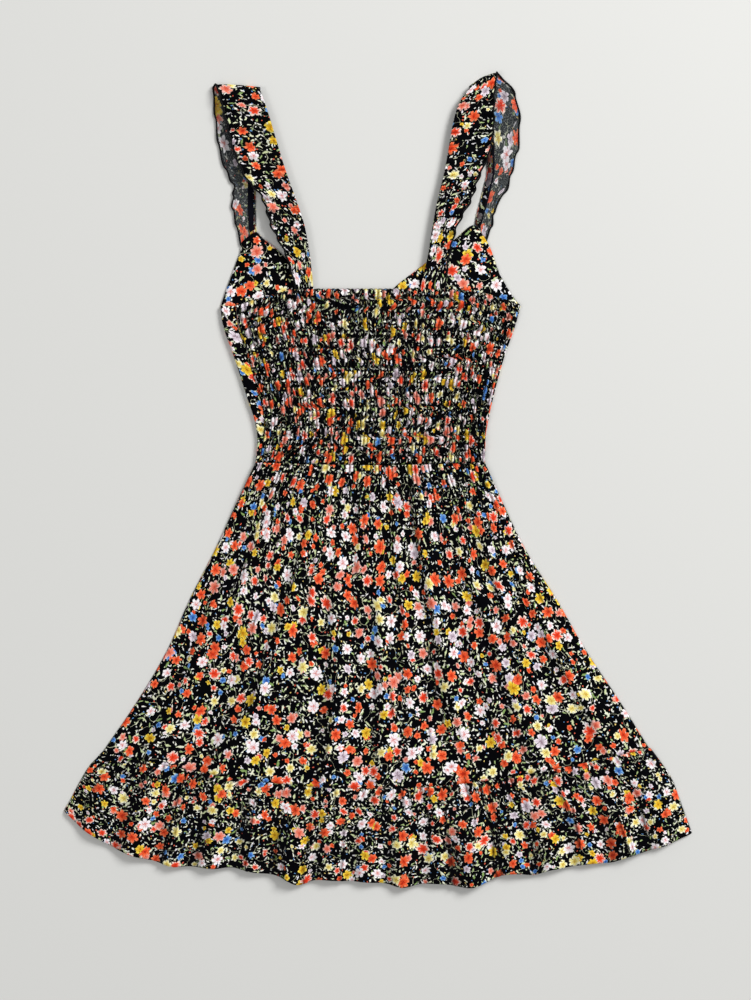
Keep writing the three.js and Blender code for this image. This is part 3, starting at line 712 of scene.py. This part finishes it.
# A bell for each fold or wave: its middle and its reach to the left and right, in widths of the
# fold, and its size. The folds lean over to the left, away from the light, and the foot bells give
# their left feet painted shade
bells = {
    "fold": (0, 0.55, 1.25, 1),
    "foldFootShade": (-0.75, 0.4, 0.4, 0.1),
    "wave": (0, 1, 1, 1),
    "waveFootShade": (-1.15, 0.5, 0.5, 0.125),
}


def addBells(profiles, kind):
    middle, left, right, size = bells[kind]
    total = 0
    for offset, height in profiles:
        away = offset - middle
        total = total + size * height * np.exp(-((away / np.where(away < 0, left, right)) ** 2))
    return total


# The skirt's folds: their height and the painted shade at their feet
def skirtFoldsAt(share, run):
    profiles = list(foldProfiles(share, run))
    return addBells(profiles, "fold"), addBells(profiles, "foldFootShade")


# The flounce's folds, which turn from the skirt's into the waves of the hem: their height and the painted
# shade at their feet
def flounceFoldsAt(share, run):
    profiles = [((share - at) / width, height) for at, height, width in zip(*hemWaves.values())]
    height, skirtFootShade = skirtFoldsAt(share, 1 + 0 * run)
    low = smooth(run, 0, 0.8)
    return mix(height, addBells(profiles, "wave"), low), mix(skirtFootShade, addBells(profiles, "waveFootShade"), low)


gatherShape = {
    "widths": (0.65, 1.35),
    "heights": (0.45, 1.0),
    "fadePower": 1.5,
    "crestPower": 2.2,
    "valleyPower": 2.6,
}


# Edges of uneven gathers, at shares across
def gatherShares(share, settings):
    widths = mix(*gatherShape["widths"], scatter(np.arange(settings["count"]) * 3 + settings["seed"]))
    edges = np.concatenate([[0], np.cumsum(widths)]) / widths.sum()
    return np.interp(share, np.linspace(0, 1, len(edges)), edges)


# Fine gathers that fade with the distance from the seam that draws them up. The columns of the grid
# keep their order in each gather, so that its narrow valleys stay sharp
def gatherHeight(share, distance, settings):
    place = share * settings["count"]
    order = np.floor(place)
    reach = mix(settings["shortest"], settings["longest"], scatter(order * 7 + settings["seed"]) ** 2)
    size = settings["height"] * mix(*gatherShape["heights"], scatter(order * 5 + settings["seed"]))
    side = np.abs(2 * (place - order) - 1)
    fade = np.exp(-((distance / reach) ** gatherShape["fadePower"]))
    crest, valleyShadeShape = 1 - side ** gatherShape["crestPower"], side ** gatherShape["valleyPower"]
    # The gathers' height, and the painted shade that darkens each valley
    return size * crest * fade, size / settings["height"] * valleyShadeShape * fade


# A few more small creases, scattered over a panel
def looseCreases(count, seed, height):
    number = np.arange(count)
    chances = [scatter(number * 31 + seed + part * 7) for part in range(4)]
    start = mix(-0.2, 0.6, chances[1])
    return {
        "share": (number + 0.15 + 0.7 * chances[0]) / count,
        "start": start,
        "end": start + mix(0.3, 0.8, chances[2]),
        "height": height * mix(0.4, 1.0, chances[3]),
    }


creaseShape = {
    "ends": {"before": 0, "after": 0.06, "fade": 0.08},
    "flank": 0.7,
    "darkHeight": 1.5,
    "shades": {-1: 0.8, -2: 0.35},
}


# Narrow sharp creases that keep to one column of the grid, with painted shade beside them
def addCreases(z, shade, column, run, settings):
    index = np.rint(column * settings["across"])
    for table in (settings["creases"], looseCreases(**settings["looseCreases"])):
        ridges, besideShade = 0 * column, 0 * column
        for at, start, end, size in zip(table["share"], table["start"], table["end"], table["height"]):
            part = partAlong(run, start, end, **creaseShape["ends"])
            away = index - round(at * settings["across"])
            ridges = ridges + size * part * np.clip(1 - creaseShape["flank"] * np.abs(away), 0, 1)
            dark = np.minimum(1, size / creaseShape["darkHeight"])
            besideShade = besideShade + dark * part * sum(
                amount * (away == step) for step, amount in creaseShape["shades"].items())
        z, shade = z + ridges, shade + besideShade
    return z, shade


# Places of gathers that wander sideways, but not within a small share of the panel's sides
def wandering(pointAt, column, run, settings, still=20):
    share = gatherShares(column, settings["gathers"])
    x, y = pointAt(share, run)
    inner = np.minimum(1, np.minimum(share, 1 - share) * still)
    stray = addLumps(0, x, y, settings["strays"])
    share = share + inner * stray * settings["wander"] / settings["width"]
    return share, *pointAt(share, run)


def fromSide(share, x):
    return np.minimum(share, 1 - share) * (x[:, -1:] - x[:, :1])


def layPanel(name, node, points, width, settings, paintedShade, faceDown=False, run=None):
    places = clothPlaces(
        points, width, settings["cutLength"], settings["offset"], settings["flankShare"], run)
    return layCloth(name, node, points, places, bothSides, faceDown=faceDown, paintedShade=paintedShade)


print("back bodice")
backBodice = {
    "gathers": {"count": 62, "seed": 23},
    "puffs": 18,
    "pointsInGather": 7,
    "pointsInPuff": 5,
    "skin": 0.35,
    "ridge": 4.0,
    "puff": 0.9,
    "puffPower": 0.6,
    "crestPower": 2.2,
    "valleyPower": 2.4,
    "puffPitch": 9,
    "wander": 2.0,
    "width": 250,
    "strays": [(1, 15, 34, 3.1), (0.4, 5, 10, 8.4)],
    "lumps": [(0.3, 30, 30, 5.2)],
    "topWave": 0.6,
    "rolls": {"right": (4, 2.4), "left": (1.5, 1.0), "waist": (0.8, 0.5), "top": (1.6, 0.9)},
    "lowest": 1.2,
    "cutTop": 0.60,
    "cutBottom": 0.48,
    "cutLength": 0.19,
    "flankShare": 1.3,
    "offset": (1.3, 0.4),
}


# Left side seam of the back, just inside the edge of the front's wrap
def sideSeamX(run):
    y = mix(garment["waistY"], garment["pitY"], run)
    return read(bodiceSides, y, "left") + read(bodiceSides, y, "wrap") + garment["sideGap"]


def backPoint(share, run):
    right = read(bodiceSides, mix(garment["waistY"], garment["pitY"], run), "right")
    x = mix(sideSeamX(run), right, share)
    return x, mix(waistAt(x) + garment["seamGap"], read(backTopEdge, x, "y"), run)


def makeBackBodice(settings):
    puffs, rolls = settings["puffs"], settings["rolls"]
    count = settings["gathers"]["count"]
    column, run = gridShares(count * settings["pointsInGather"], puffs * settings["pointsInPuff"])
    share, x, y = wandering(backPoint, column, run, settings)
    # Each gather has its own height between two rows of elastic
    place, row = column * count, run * puffs
    order, level = np.floor(place), np.floor(row)
    apart = np.abs(np.sin(math.pi * row)) ** settings["puffPower"]
    height = mix(0.5, 1.0, scatter(order * 17 + level * 131)) * mix(0.8, 1.0, scatter(order * 29 + 3))
    side = np.abs(2 * (place - order) - 1)
    crest, valleyShadeShape = 1 - side ** settings["crestPower"], side ** settings["valleyPower"]
    # Painted shade: darker in each gather's valley and along the rows of elastic
    valleyShade = height * valleyShadeShape * (0.55 + 0.45 * apart) + 0.55 * (1 - apart) ** 1.5
    z = garment["backBase"] + settings["skin"] + settings["puff"] * apart
    z = z + settings["ridge"] * height * crest * (0.45 + 0.55 * apart)
    z = addLumps(z, x, y, settings["lumps"])
    y = y + settings["topWave"] * (crest - 0.5) * smooth(row, puffs - 1, puffs)
    width = x[:, -1:] - x[:, :1]
    z = z - roll((1 - share) * width, *rolls["right"]) - roll(share * width, *rolls["left"])
    z = z - roll(row * settings["puffPitch"], *rolls["waist"])
    z = z - roll((1 - run) * puffs * settings["puffPitch"], *rolls["top"])
    points = stack(x, y, np.maximum(z, settings["lowest"]))
    widths = mix(settings["cutBottom"], settings["cutTop"], run[:, 0])
    return layPanel("back_bodice_shirred", "back_bodice", points, widths, settings, valleyShade), points


backBodicePiece, backBodicePoints = makeBackBodice(backBodice)

print("back skirt")
backSkirt = {
    "across": 360,
    "along": 120,
    "crowding": 1.25,
    "gathers": {"count": 60, "height": 3.0, "shortest": 28, "longest": 120, "seed": 3},
    "wander": 3.0,
    "width": 300,
    "strays": [(1, 16, 55, 9.3)],
    "underSeam": 0.7,
    "sink": 0.5,
    "sinkReach": 30,
    "stepDown": (10, 70),
    "creases": skirtCreases,
    "looseCreases": {"count": 22, "seed": 2, "height": 1.2},
    "lumps": [(0.45, 13, 60, 2.2), (0.22, 5, 16, 6.7)],
    "rolls": {"side": (5, 2.2), "waist": (1.6, 0.9), "seam": (0.7, 0.3)},
    "cutTop": 0.42,
    "cutBottom": 0.60,
    "cutLength": 0.34,
    "flankShare": 1.6,
    "offset": (0.2, 1.1),
}


def makeBackSkirt(settings):
    rolls = settings["rolls"]
    column, even = gridShares(settings["across"], settings["along"])
    run = even ** settings["crowding"]
    share, x, y = wandering(skirtPoint, column, run, settings)
    y = y + (1 - run) * settings["underSeam"]
    distance = run * (garment["waistY"] - seamY(share))
    low, high = garment["backSkirtBase"], garment["backBase"]
    z = low + (high - low) * (1 - smooth(distance, *settings["stepDown"])) + garment["gatheredWall"]
    z = z - settings["sink"] * np.exp(-distance / settings["sinkReach"])
    gathers, valleyShade = gatherHeight(column, distance, settings["gathers"])
    z, valleyShade = addCreases(z, valleyShade, column, run, settings)
    folds, footShade = skirtFoldsAt(share, run)
    z = addLumps(z + gathers + folds, x, y, settings["lumps"]) - roll(fromSide(share, x), *rolls["side"])
    z = z - roll(distance, *rolls["waist"]) - roll(np.abs(y - seamY(share)), *rolls["seam"])
    widths = mix(settings["cutTop"], settings["cutBottom"], run[:, 0])
    # The cloth carries the painted shade of the gathers' valleys, the creases and the folds' feet
    return layPanel("back_skirt_cloth", "back_skirt", stack(x, y, z)[::-1], widths[::-1], settings,
                    (valleyShade + footShade)[::-1], run=1 - run[::-1])


backSkirtPiece = makeBackSkirt(backSkirt)

print("back flounce")
backFlounce = {
    "across": 400,
    "along": 48,
    "gathers": {"count": 80, "height": 1.9, "shortest": 12, "longest": 60, "seed": 11},
    "wander": 3.0,
    "width": 600,
    "strays": [(1, 14, 40, 12.1)],
    "underSeam": 1.2,
    "seamReach": 8,
    "creases": flounceCreases,
    "looseCreases": {"count": 30, "seed": 5, "height": 1.2},
    "lumps": [(0.45, 12, 30, 4.9), (0.2, 5, 9, 1.3)],
    "rolls": {"side": (5, 2.2), "seam": (2.4, 0.9)},
    "cutWidth": 0.80,
    "cutLength": 0.12,
    "flankShare": 1.5,
    "hemDepth": 7.0,
    "hemRise": 0.35,
    "hemEdge": 0.8,
    "offset": (0.1, 2.3),
}


def makeBackFlounce(settings):
    rolls = settings["rolls"]
    column, run = gridShares(settings["across"], settings["along"])
    share, x, y = wandering(flouncePoint, column, run, settings)
    distance = seamY(share) - y
    y = y + (1 - smooth(distance, 0, settings["seamReach"])) * settings["underSeam"]
    folds, footShade = flounceFoldsAt(share, run)
    z = garment["backSkirtBase"] + garment["gatheredWall"] + folds
    gathers, valleyShade = gatherHeight(column, distance, settings["gathers"])
    z, valleyShade = addCreases(z, valleyShade, column, run, settings)
    z = addLumps(z + gathers, x, y, settings["lumps"])
    fromHem = (1 - run) * (seamY(share) - flouncePoint(share, 1 + 0 * run)[1])
    hem, edge = settings["hemDepth"], settings["hemEdge"]
    z = z + settings["hemRise"] * (1 - smooth(fromHem, hem - edge, hem + edge))
    z = z - roll(fromSide(share, x), *rolls["side"]) - roll(distance, *rolls["seam"])
    points = stack(x, y, z)[::-1]
    # The cloth carries the painted shade of the gathers' valleys, the creases and the folds' feet
    return layPanel("back_flounce_cloth", "back_flounce", points, settings["cutWidth"], settings,
                    (valleyShade + footShade)[::-1]), points


backFlouncePiece, backFlouncePoints = makeBackFlounce(backFlounce)

print("front skirt and flounce")
frontSkirt = {
    "across": 240,
    "along": 60,
    "gathers": {"count": 60, "height": 3.0, "shortest": 24, "longest": 100, "seed": 41},
    "furrow": 0.9,
    "flankShare": 1.0,
    "cutTop": 0.42,
    "cutBottom": 0.60,
    "cutLength": 0.34,
    "offset": (1.2, 3.2),
}
frontFlounce = {
    "across": 320,
    "along": 24,
    "gathers": {"count": 80, "height": 1.9, "shortest": 12, "longest": 60, "seed": 47},
    "furrow": 0.7,
    "flankShare": 1.0,
    "cutWidth": 0.80,
    "cutLength": 0.12,
    "offset": (1.2, 4.4),
}
# How the front panels rise from the floor, on which their sides stay flat
frontRise = {
    "foldShare": 0.2,
    "footShare": 0.6,
    "least": 0.2,
    "most": 1.4,
    "lumps": [(0.2, 16, 40, 6.1)],
    "sideFlat": (2, 12),
    "sideRoll": (5, 0.6),
}


# The front lies on its face, so its gathers and folds are furrows that rise into the dress
def makeFrontPanel(name, node, settings, pointAt, foldsAt, widths):
    column, run = gridShares(settings["across"], settings["along"])
    share = gatherShares(column, settings["gathers"])
    x, y = pointAt(share, run)
    _, furrows = gatherHeight(column, y[:1] - y, settings["gathers"])
    folds, footShade = foldsAt(1 - share, run)
    y = y - (1 - run) * garment["seamGap"]
    rise = settings["furrow"] * furrows + frontRise["foldShare"] * folds + frontRise["least"]
    rise = np.minimum(addLumps(rise, x, y, frontRise["lumps"]), frontRise["most"])
    edge = fromSide(share, x)
    z = garment["floorGap"] + roll(edge, *frontRise["sideRoll"])
    z = z + rise * smooth(edge, *frontRise["sideFlat"])
    # Painted shade in the furrows and at the folds' feet
    paintedShade = (furrows + frontRise["footShare"] * footShade)[::-1]
    return layPanel(name, node, stack(x, y, z)[::-1], widths[::-1], settings, paintedShade, faceDown=True)


skirtWidths = np.linspace(frontSkirt["cutTop"], frontSkirt["cutBottom"], frontSkirt["along"] + 1)
flounceWidths = np.full(frontFlounce["along"] + 1, frontFlounce["cutWidth"])
frontSkirtPiece = makeFrontPanel(
    "front_skirt_cloth", "front_skirt", frontSkirt, skirtPoint, skirtFoldsAt, skirtWidths)
frontFlouncePiece = makeFrontPanel(
    "front_flounce_cloth", "front_flounce", frontFlounce, flouncePoint, flounceFoldsAt, flounceWidths)

print("front bodice and lining")
frontBodice = {
    "wrapColumns": 34,
    "across": 110,
    "sideRows": 44,
    "cupRows": 34,
    "width": 250,
    "cupHeight": 40,
    "rise": 0.35,
    "lumps": [(0.35, 20, 38, 3.3)],
    "sideFlat": (0.02, 0.1),
    "wrapLumps": [(0.25, 9, 30, 7.7)],
    "rolls": {"side": (4, 0.8), "top": (3, 0.9), "wrap": (1.4, 0.8)},
    "cutWidth": 0.32,
    "cutLength": 0.25,
    "offset": (2.1, 0.4),
}
frontLining = {
    "lumps": [(0.3, 22, 34, 2.6)],
    "unevenLevels": (0.9, 1.2),
    "sideLevels": (0.9, 1.05),
    "roll": (3, 1.3),
    "lowest": 0.9,
    "offset": (0.93, 3.38),
}


# Point of the flat front at a share across, and at a level: 0 to 1 up to the underarm, then to 2
# up the cups
def frontPoint(share, level, leftInset):
    sagPit = garment["pitY"] - garment["pitDip"] * np.sin(math.pi * share)
    low, high = np.clip(level, 0, 1), np.clip(level - 1, 0, 1)
    sideY = mix(garment["waistY"], garment["pitY"], low)
    left = read(bodiceSides, sideY, "left") + leftInset
    x = mix(left, read(bodiceSides, sideY, "right"), share)
    y = mix(waistAt(x), sagPit, low)
    leftY, rightY = (mix(garment["pitY"], frontNeckline["y"][end], high) for end in (0, -1))
    cupX = between(cupSides, leftY, rightY, share)
    top = read(frontNeckline, mix(frontNeckline["x"][0], frontNeckline["x"][-1], share), "y")
    above = level > 1
    return np.where(above, cupX, x), np.where(above, mix(sagPit, top, high), y)


def frontGrid(settings):
    low = np.linspace(0, 1, settings["sideRows"] + 1)
    high = np.linspace(1, 2, settings["cupRows"] + 1)[1:]
    levels = np.concatenate([low, high])
    share, _ = gridShares(settings["across"], len(levels) - 1)
    return share, levels[:, None] * np.ones_like(share)


def makeFrontBodice(settings):
    share, level = frontGrid(settings)
    rolls, radius = settings["rolls"], garment["curlOuter"]
    x, y = frontPoint(share, level, radius)
    z = garment["floorGap"] + roll((1 - share) * settings["width"], *rolls["side"])
    z = z + roll((2 - level) * settings["cupHeight"], *rolls["top"])
    rise = addLumps(settings["rise"], x, y, settings["lumps"])
    z = z + rise * smooth(share, *settings["sideFlat"])
    # The wrap: round the left side on half a circle, then over the back as far as the side seam
    turn = np.linspace(1, 0, settings["wrapColumns"] + 1)[None, :-1]
    sideY = mix(garment["waistY"], garment["pitY"], np.clip(level[:, :1], 0, 1))
    left = read(bodiceSides, sideY, "left")
    reach = read(bodiceSides, sideY, "wrap") - radius
    arc = math.pi * radius
    gone = turn * (arc + reach)
    angle = np.minimum(gone, arc) / radius
    wrapX = left + radius - radius * np.sin(angle) + np.maximum(gone - arc, 0)
    wrapY = y[:, :1] + 0 * wrapX
    wrapZ = garment["floorGap"] + radius - radius * np.cos(angle)
    wrapZ = addLumps(wrapZ, wrapX, wrapY, settings["wrapLumps"])
    wrapZ = wrapZ - roll(arc + reach - gone, *rolls["wrap"])
    # The cups have no wrap, and its columns stand close together along their edge
    above = level[:, :1] > 1
    wrapX = np.where(above, x[:, :1] - 0.02 * turn, wrapX)
    wrapZ = np.where(above, z[:, :1] + 0.01 * turn, wrapZ)
    unrolled = np.concatenate([left + radius - gone, x], axis=1)
    x, y, z = (np.concatenate(pair, axis=1) for pair in ((wrapX, x), (wrapY, y), (wrapZ, z)))
    return layCloth("front_bodice_cloth", "front_bodice", stack(x, y, z),
                    flatPlaces(unrolled, y, settings["offset"]), bothSides, faceDown=True)


def makeFrontLining(grid, settings):
    share, level = frontGrid(grid)
    x, y = frontPoint(share, level, garment["curlOuter"] + garment["seamGap"])
    uneven = addLumps(0, x, y, settings["lumps"]) * smooth(level, *settings["unevenLevels"])
    z = garment["liningBase"] + garment["clothWall"] + uneven
    sides = np.minimum(share, 1 - share) * grid["width"]
    z = z - roll((2 - level) * grid["cupHeight"], *settings["roll"])
    z = z - roll(sides, *settings["roll"]) * smooth(level, *settings["sideLevels"])
    places = flatPlaces(x, y, settings["offset"])
    return layCloth("front_lining_cloth", "front_lining", stack(x, y, np.maximum(z, settings["lowest"])),
                    places, bothSides)


frontBodicePiece = makeFrontBodice(frontBodice)
frontLiningPiece = makeFrontLining(frontBodice, frontLining)

print("straps")
strap = {
    "farWaves": 8,
    "nearWaves": 14,
    "foldOrders": 6,
    "pointsInWave": 12,
    "farRise": (2.0, 0.6),
    "nearRise": (3.6, 1.2),
    "flatStrip": 9.0,
    "leastEnds": 0.35,
    "flutes": (0.5, 1.0),
    "fluteRises": (0, 0.68),
    "fluteFalls": (0.7, 0.98),
    "underFlute": 0.11,
    "farShade": 0.4,
    "neckReach": 16,
    "foldRadius": 2.6,
    "foldSteps": 12,
    "across": 26,
    "drawIn": 2.4,
    "rounding": {"left": 0.7, "right": 2.4},
    "roundReach": 12.0,
    "tuck": 3.0,
    "tuckedRuns": (14, 24),
    "startLift": 0.5,
    "endSink": 1.6,
    "cutWidth": 0.043,
    "cutLength": 0.40,
}
band = {"inset": 1.1, "width": 7.0, "across": 6, "gap": 0.05, "wall": 0.7, "endSink": 1.2, "length": 0.34}
overlock = {"radius": 1.0, "ridge": 0.18, "out": 0.3, "pitch": 1.1, "pointsInPitch": 4, "roundness": 1}


# Stations along a strap: both edges, the height and the way the right side faces
def strapStations(path, settings):
    farCount = settings["farWaves"] * settings["pointsInWave"]
    nearCount = settings["nearWaves"] * settings["pointsInWave"]
    farRuns = np.linspace(0, 1, farCount + 1)[:-1]
    nearRuns = np.linspace(0, 1, nearCount + 1)[1:]
    share = np.linspace(0, 1, settings["foldSteps"] + 1)

    def edges(table, runs):
        rows = {"place": np.linspace(0, 1, len(table["neckX"])), **table}
        return [np.column_stack([read(rows, runs, edge + axis) for axis in "XY"])
                for edge in ("neck", "free")]

    # One row of values for the far stretch, the fold over and the near stretch
    def parts(*values):
        counts = (farCount, len(share), nearCount)
        return np.concatenate([value * np.ones(count) for value, count in zip(values, counts)])

    farNeck, farFree = edges(path["far"], farRuns)
    nearNeck, nearFree = edges(path["near"], nearRuns)
    neckEnd, freeEnd = edges(path["far"], np.array([1.0]))
    neckStart, freeStart = edges(path["near"], np.array([0.0]))
    across = (neckStart - freeStart)[0] / np.linalg.norm(neckStart - freeStart)
    outward = np.array([-across[1], across[0]])
    outward = outward if outward[1] > 0 else -outward
    radius, low = settings["foldRadius"], garment["clothWall"] / 2
    bulge = (radius * np.sin(math.pi * share))[:, None] * outward
    neck = np.concatenate([farNeck, mix(neckEnd, neckStart, share[:, None]) + bulge, nearNeck])
    free = np.concatenate([farFree, mix(freeEnd, freeStart, share[:, None]) + bulge, nearFree])
    lean = parts(0, np.sin(math.pi * share), 0)
    up = parts(-1, -np.cos(math.pi * share), 1)
    # Orders count half waves, two to each wave, and the fold stands between the two stretches
    half = 2 / settings["pointsInWave"]
    nearStart = 2 * settings["farWaves"] + settings["foldOrders"]
    along = np.concatenate([[0], np.cumsum(np.linalg.norm(np.diff(neck + free, axis=0), axis=1) / 2)])
    return {
        "neck": neck, "free": free, "outward": outward,
        "breadth": np.linalg.norm(free - neck, axis=1)[:, None],
        "z": parts(low, low + radius * (1 - np.cos(math.pi * share)), low + 2 * radius),
        "face": np.column_stack([lean * outward[0], lean * outward[1], up]),
        "far": parts(1, 0, 0), "near": parts(0, 0, 1), "run": parts(farRuns, share, nearRuns),
        "order": parts(np.arange(farCount) * half, 0, nearStart + np.arange(1, nearCount + 1) * half),
        "fromFold": along - along[farCount + len(share) // 2],
    }


# Grid of points at widths from the strap's neck edge, shifted off its middle surface
def strapGrid(stations, width, shift):
    share = (width / stations["breadth"])[..., None]
    plan = mix(stations["neck"][:, None, :], stations["free"][:, None, :], share)
    points = np.concatenate([plan, stations["z"][:, None, None] + 0 * plan[..., :1]], axis=2)
    points = points + stations["face"][:, None, :] * shift[..., None]
    points[..., 1] += shiftY
    return points


# Flutes grow towards the free edge and lean over one way, and always rise from the surface below.
# Gives the rise, the painted shade in the valleys and under the flutes, and the flutes' size
def ruffleRise(stations, settings, width):
    run, order, far, near = (stations[key][:, None] for key in ("run", "order", "far", "near"))
    flat = settings["flatStrip"]
    grow = smooth(width, flat, np.maximum(stations["breadth"], flat + 1))
    ends = np.minimum(1, settings["leastEnds"] + np.sin(math.pi * np.minimum(run, 1)))
    crest = np.floor(order / 2)
    phase = order / 2 - crest
    uneven = mix(*settings["flutes"], scatter(crest * 13 + 5))
    wave = smooth(phase, *settings["fluteRises"]) * (1 - smooth(phase, *settings["fluteFalls"]))
    size = uneven * grow * ends * wave
    fine = np.sin(math.pi * order * 1.45 + 0.8 * np.sin(order)) ** 2
    byNeck = np.exp(-((width / settings["neckReach"]) ** 2)) * ends
    # Painted shade under the lip of each flute, where it falls over the next
    under = np.exp(-(((phase - np.where(phase > 0.5, 1, 0)) / settings["underFlute"]) ** 2)) * grow
    valleyShade = (near + settings["farShade"] * far) * ends * (0.75 * (1 - fine) ** 3 * byNeck + 0.8 * under)
    farRise, nearRise = (flute * size + gather * fine * byNeck
                         for flute, gather in (settings["farRise"], settings["nearRise"]))
    return near * nearRise - far * farRise, valleyShade, size


def makeStrap(side, settings, offset):
    stations = strapStations(strapPaths[side], settings)
    breadth, half = stations["breadth"], garment["clothWall"] / 2
    width = np.linspace(0, 1, settings["across"] + 1)[None, :] * breadth
    rise, valleyShade, size = ruffleRise(stations, settings, width)
    middle = strapGrid(stations, width, half + rise)
    # The free edge draws in at each flute, and the fold's line is rounded
    inward = ((stations["neck"] - stations["free"]) / breadth)[:, None, :]
    middle[..., :2] += (settings["drawIn"] * size)[..., None] * inward
    atFold = np.exp(-((stations["fromFold"] / settings["roundReach"]) ** 2))[:, None]
    rounding = settings["rounding"][side] * atFold * np.sin(math.pi * width / breadth)
    middle[..., :2] += rounding[..., None] * stations["outward"]
    # Both ends are tucked into the seams that hold them
    startRuns, endRuns = settings["tuckedRuns"]
    startTuck = (stations["far"] * np.clip(1 - stations["run"] * startRuns, 0, 1))[:, None]
    endTuck = (stations["near"] * np.clip(1 - (1 - stations["run"]) * endRuns, 0, 1))[:, None]
    middle[..., 1] -= settings["tuck"] * (startTuck + endTuck)
    middle[..., 2] -= settings["endSink"] * smooth(endTuck, 0, 1)
    middle[..., 2] += settings["startLift"] * smooth(startTuck, 0, 1)
    places = clothPlaces(middle, settings["cutWidth"], settings["cutLength"], offset)
    mirrored = side == "right"
    # The ruffle's colour gets the painted shade of its valleys
    ruffle = layCloth(f"strap_{side}_ruffle_cloth", f"strap_ruffle_{side}", middle, places, bothSides,
                      faceDown=mirrored, paintedShade=valleyShade)

    width = band["inset"] + band["width"] * np.linspace(0, 1, band["across"] + 1)[None, :] + 0 * breadth
    tape = strapGrid(stations, width, half - garment["shell"] - band["gap"] + 0 * width)
    tape[..., 2] -= band["endSink"] * smooth(endTuck, 0, 1)
    tape = tape[settings["pointsInWave"] // 4:-(settings["pointsInWave"] // 3)]
    tapeWidth = band["width"] * mm
    places = clothPlaces(tape, tapeWidth, band["length"], (tapeWidth / 2, 0))
    elastic = layCloth(f"strap_{side}_elastic_band", f"strap_elastic_{side}", tape, places,
                       [elastics[side]], faceDown=mirrored, thickness=band["wall"])

    line = middle[:, -1].copy()
    line[:, :2] -= overlock["out"] * inward[:, 0]
    rim = evenly(line, overlock["pitch"] / overlock["pointsInPitch"])
    rim[:, 2] = np.maximum(rim[:, 2], overlock["radius"])
    ridges = np.abs(np.sin(np.arange(len(rim)) * math.pi / overlock["pointsInPitch"]))
    radii = overlock["radius"] * (1 - overlock["ridge"] + overlock["ridge"] * ridges)
    edge = layThread(f"strap_{side}_overlock_edge", rim, radii, overlock["roundness"], blackThread)
    return ruffle, elastic, edge


leftRuffle, leftElastic, leftEdge = makeStrap("left", strap, (0.55, 5.9))
rightRuffle, rightElastic, rightEdge = makeStrap("right", strap, (0.7, 6.2))

print("stitching")
stitch = {"pitch": 2.9, "length": 2.2, "radius": 0.17, "lift": 0.1, "hemLift": 0.12}


# A line of sewing above a panel, at a row of its grid or between two rows, inside its side edges
def rowLine(points, row, lift):
    low = int(row)
    line = mix(points[low], points[min(low + 1, len(points) - 1)], row - low)
    line[:, 2] += lift
    return line[1:-1]


elasticRows = [rowLine(backBodicePoints, index * backBodice["pointsInPuff"], stitch["lift"])
               for index in range(1, backBodice["puffs"])]
shirrStitches = layStitches("back_bodice_elastic_stitches", elasticRows, stitch, blackThread)
hemRow = backFlounce["along"] * backFlounce["hemDepth"] / 100
hemLines = [rowLine(backFlouncePoints, hemRow, stitch["hemLift"])]
hemStitches = layStitches("back_flounce_hem_stitches", hemLines, stitch, blackThread)

slots = {
    "printed_crepe": [backBodicePiece, backSkirtPiece, backFlouncePiece, frontSkirtPiece,
                      frontFlouncePiece, frontBodicePiece, frontLiningPiece, leftRuffle, rightRuffle],
    "navy_elastic": [leftElastic, rightElastic],
    "black_thread": [leftEdge, rightEdge, shirrStitches, hemStitches],
}
for slotName, pieces in slots.items():
    for piece in pieces:
        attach(piece, "root")


print("floor, light and camera")
studio = {
    "floorSize": 6.0,
    "floorColour": (215, 215, 212),
    "floorColour": (215, 215, 212),
    "floorDrop": 0.0003,
    "world": 0.42,
    "keyPower": 214.0,
    "keySize": 1.5,
    "keyPlace": (2.9, 2.5, 2.5),
    "fillPower": 30.0,
    "fillPlace": (-2.6, -1.2, 3.2),
    "cameraHeight": 1.5,
    "pixel": 1.03,
    "middlePixel": (375.5, 500.0),
    "originPixel": (378.0, 480.5),
    "pixelsHigh": 1000,
}


def makeStudio(settings):
    bm = bmesh.new()
    bmesh.ops.create_grid(bm, x_segments=1, y_segments=1, size=settings["floorSize"] / 2)
    mesh = closeMesh("floor", bm)
    mesh.transform(Matrix.Translation((0, 0, cadLow.z - settings["floorDrop"])))
    paint, tree, sockets = newMaterial("pale floor", 0.9, 0.0)
    plug(tree, sockets, {"Base Color": linear(*settings["floorColour"])})
    mesh.materials.append(paint)
    addObject("floor", mesh)

    world = bpy.data.worlds.new("soft sky")
    world.use_nodes = True
    tree = world.node_tree
    plug(tree, tree.nodes["Background"].inputs, {"Color": (1, 1, 1, 1), "Strength": settings["world"]})
    bpy.context.scene.world = world
    for name, power, place in (("window", settings["keyPower"], settings["keyPlace"]),
                               ("fill", settings["fillPower"], settings["fillPlace"])):
        lamp = bpy.data.lights.new(name, "AREA")
        lamp.size = settings["keySize"]
        lamp.energy = power
        holder = addObject(name, lamp)
        holder.location = place
        holder.rotation_euler = (-Vector(place)).to_track_quat("-Z", "Y").to_euler()


def makeCamera(settings):
    camera = bpy.data.cameras.new("above")
    span = settings["pixelsHigh"] * settings["pixel"] * mm
    camera.lens = camera.sensor_width * settings["cameraHeight"] / span
    holder = addObject("above", camera)
    middleX = (settings["middlePixel"][0] - settings["originPixel"][0]) * settings["pixel"]
    middleY = (settings["originPixel"][1] - settings["middlePixel"][1]) * settings["pixel"] + shiftY
    holder.location = (middleX * mm, middleY * mm, settings["cameraHeight"])
    bpy.context.scene.camera = holder


makeStudio(studio)
makeCamera(studio)
bpy.context.scene.view_settings.view_transform = "Standard"
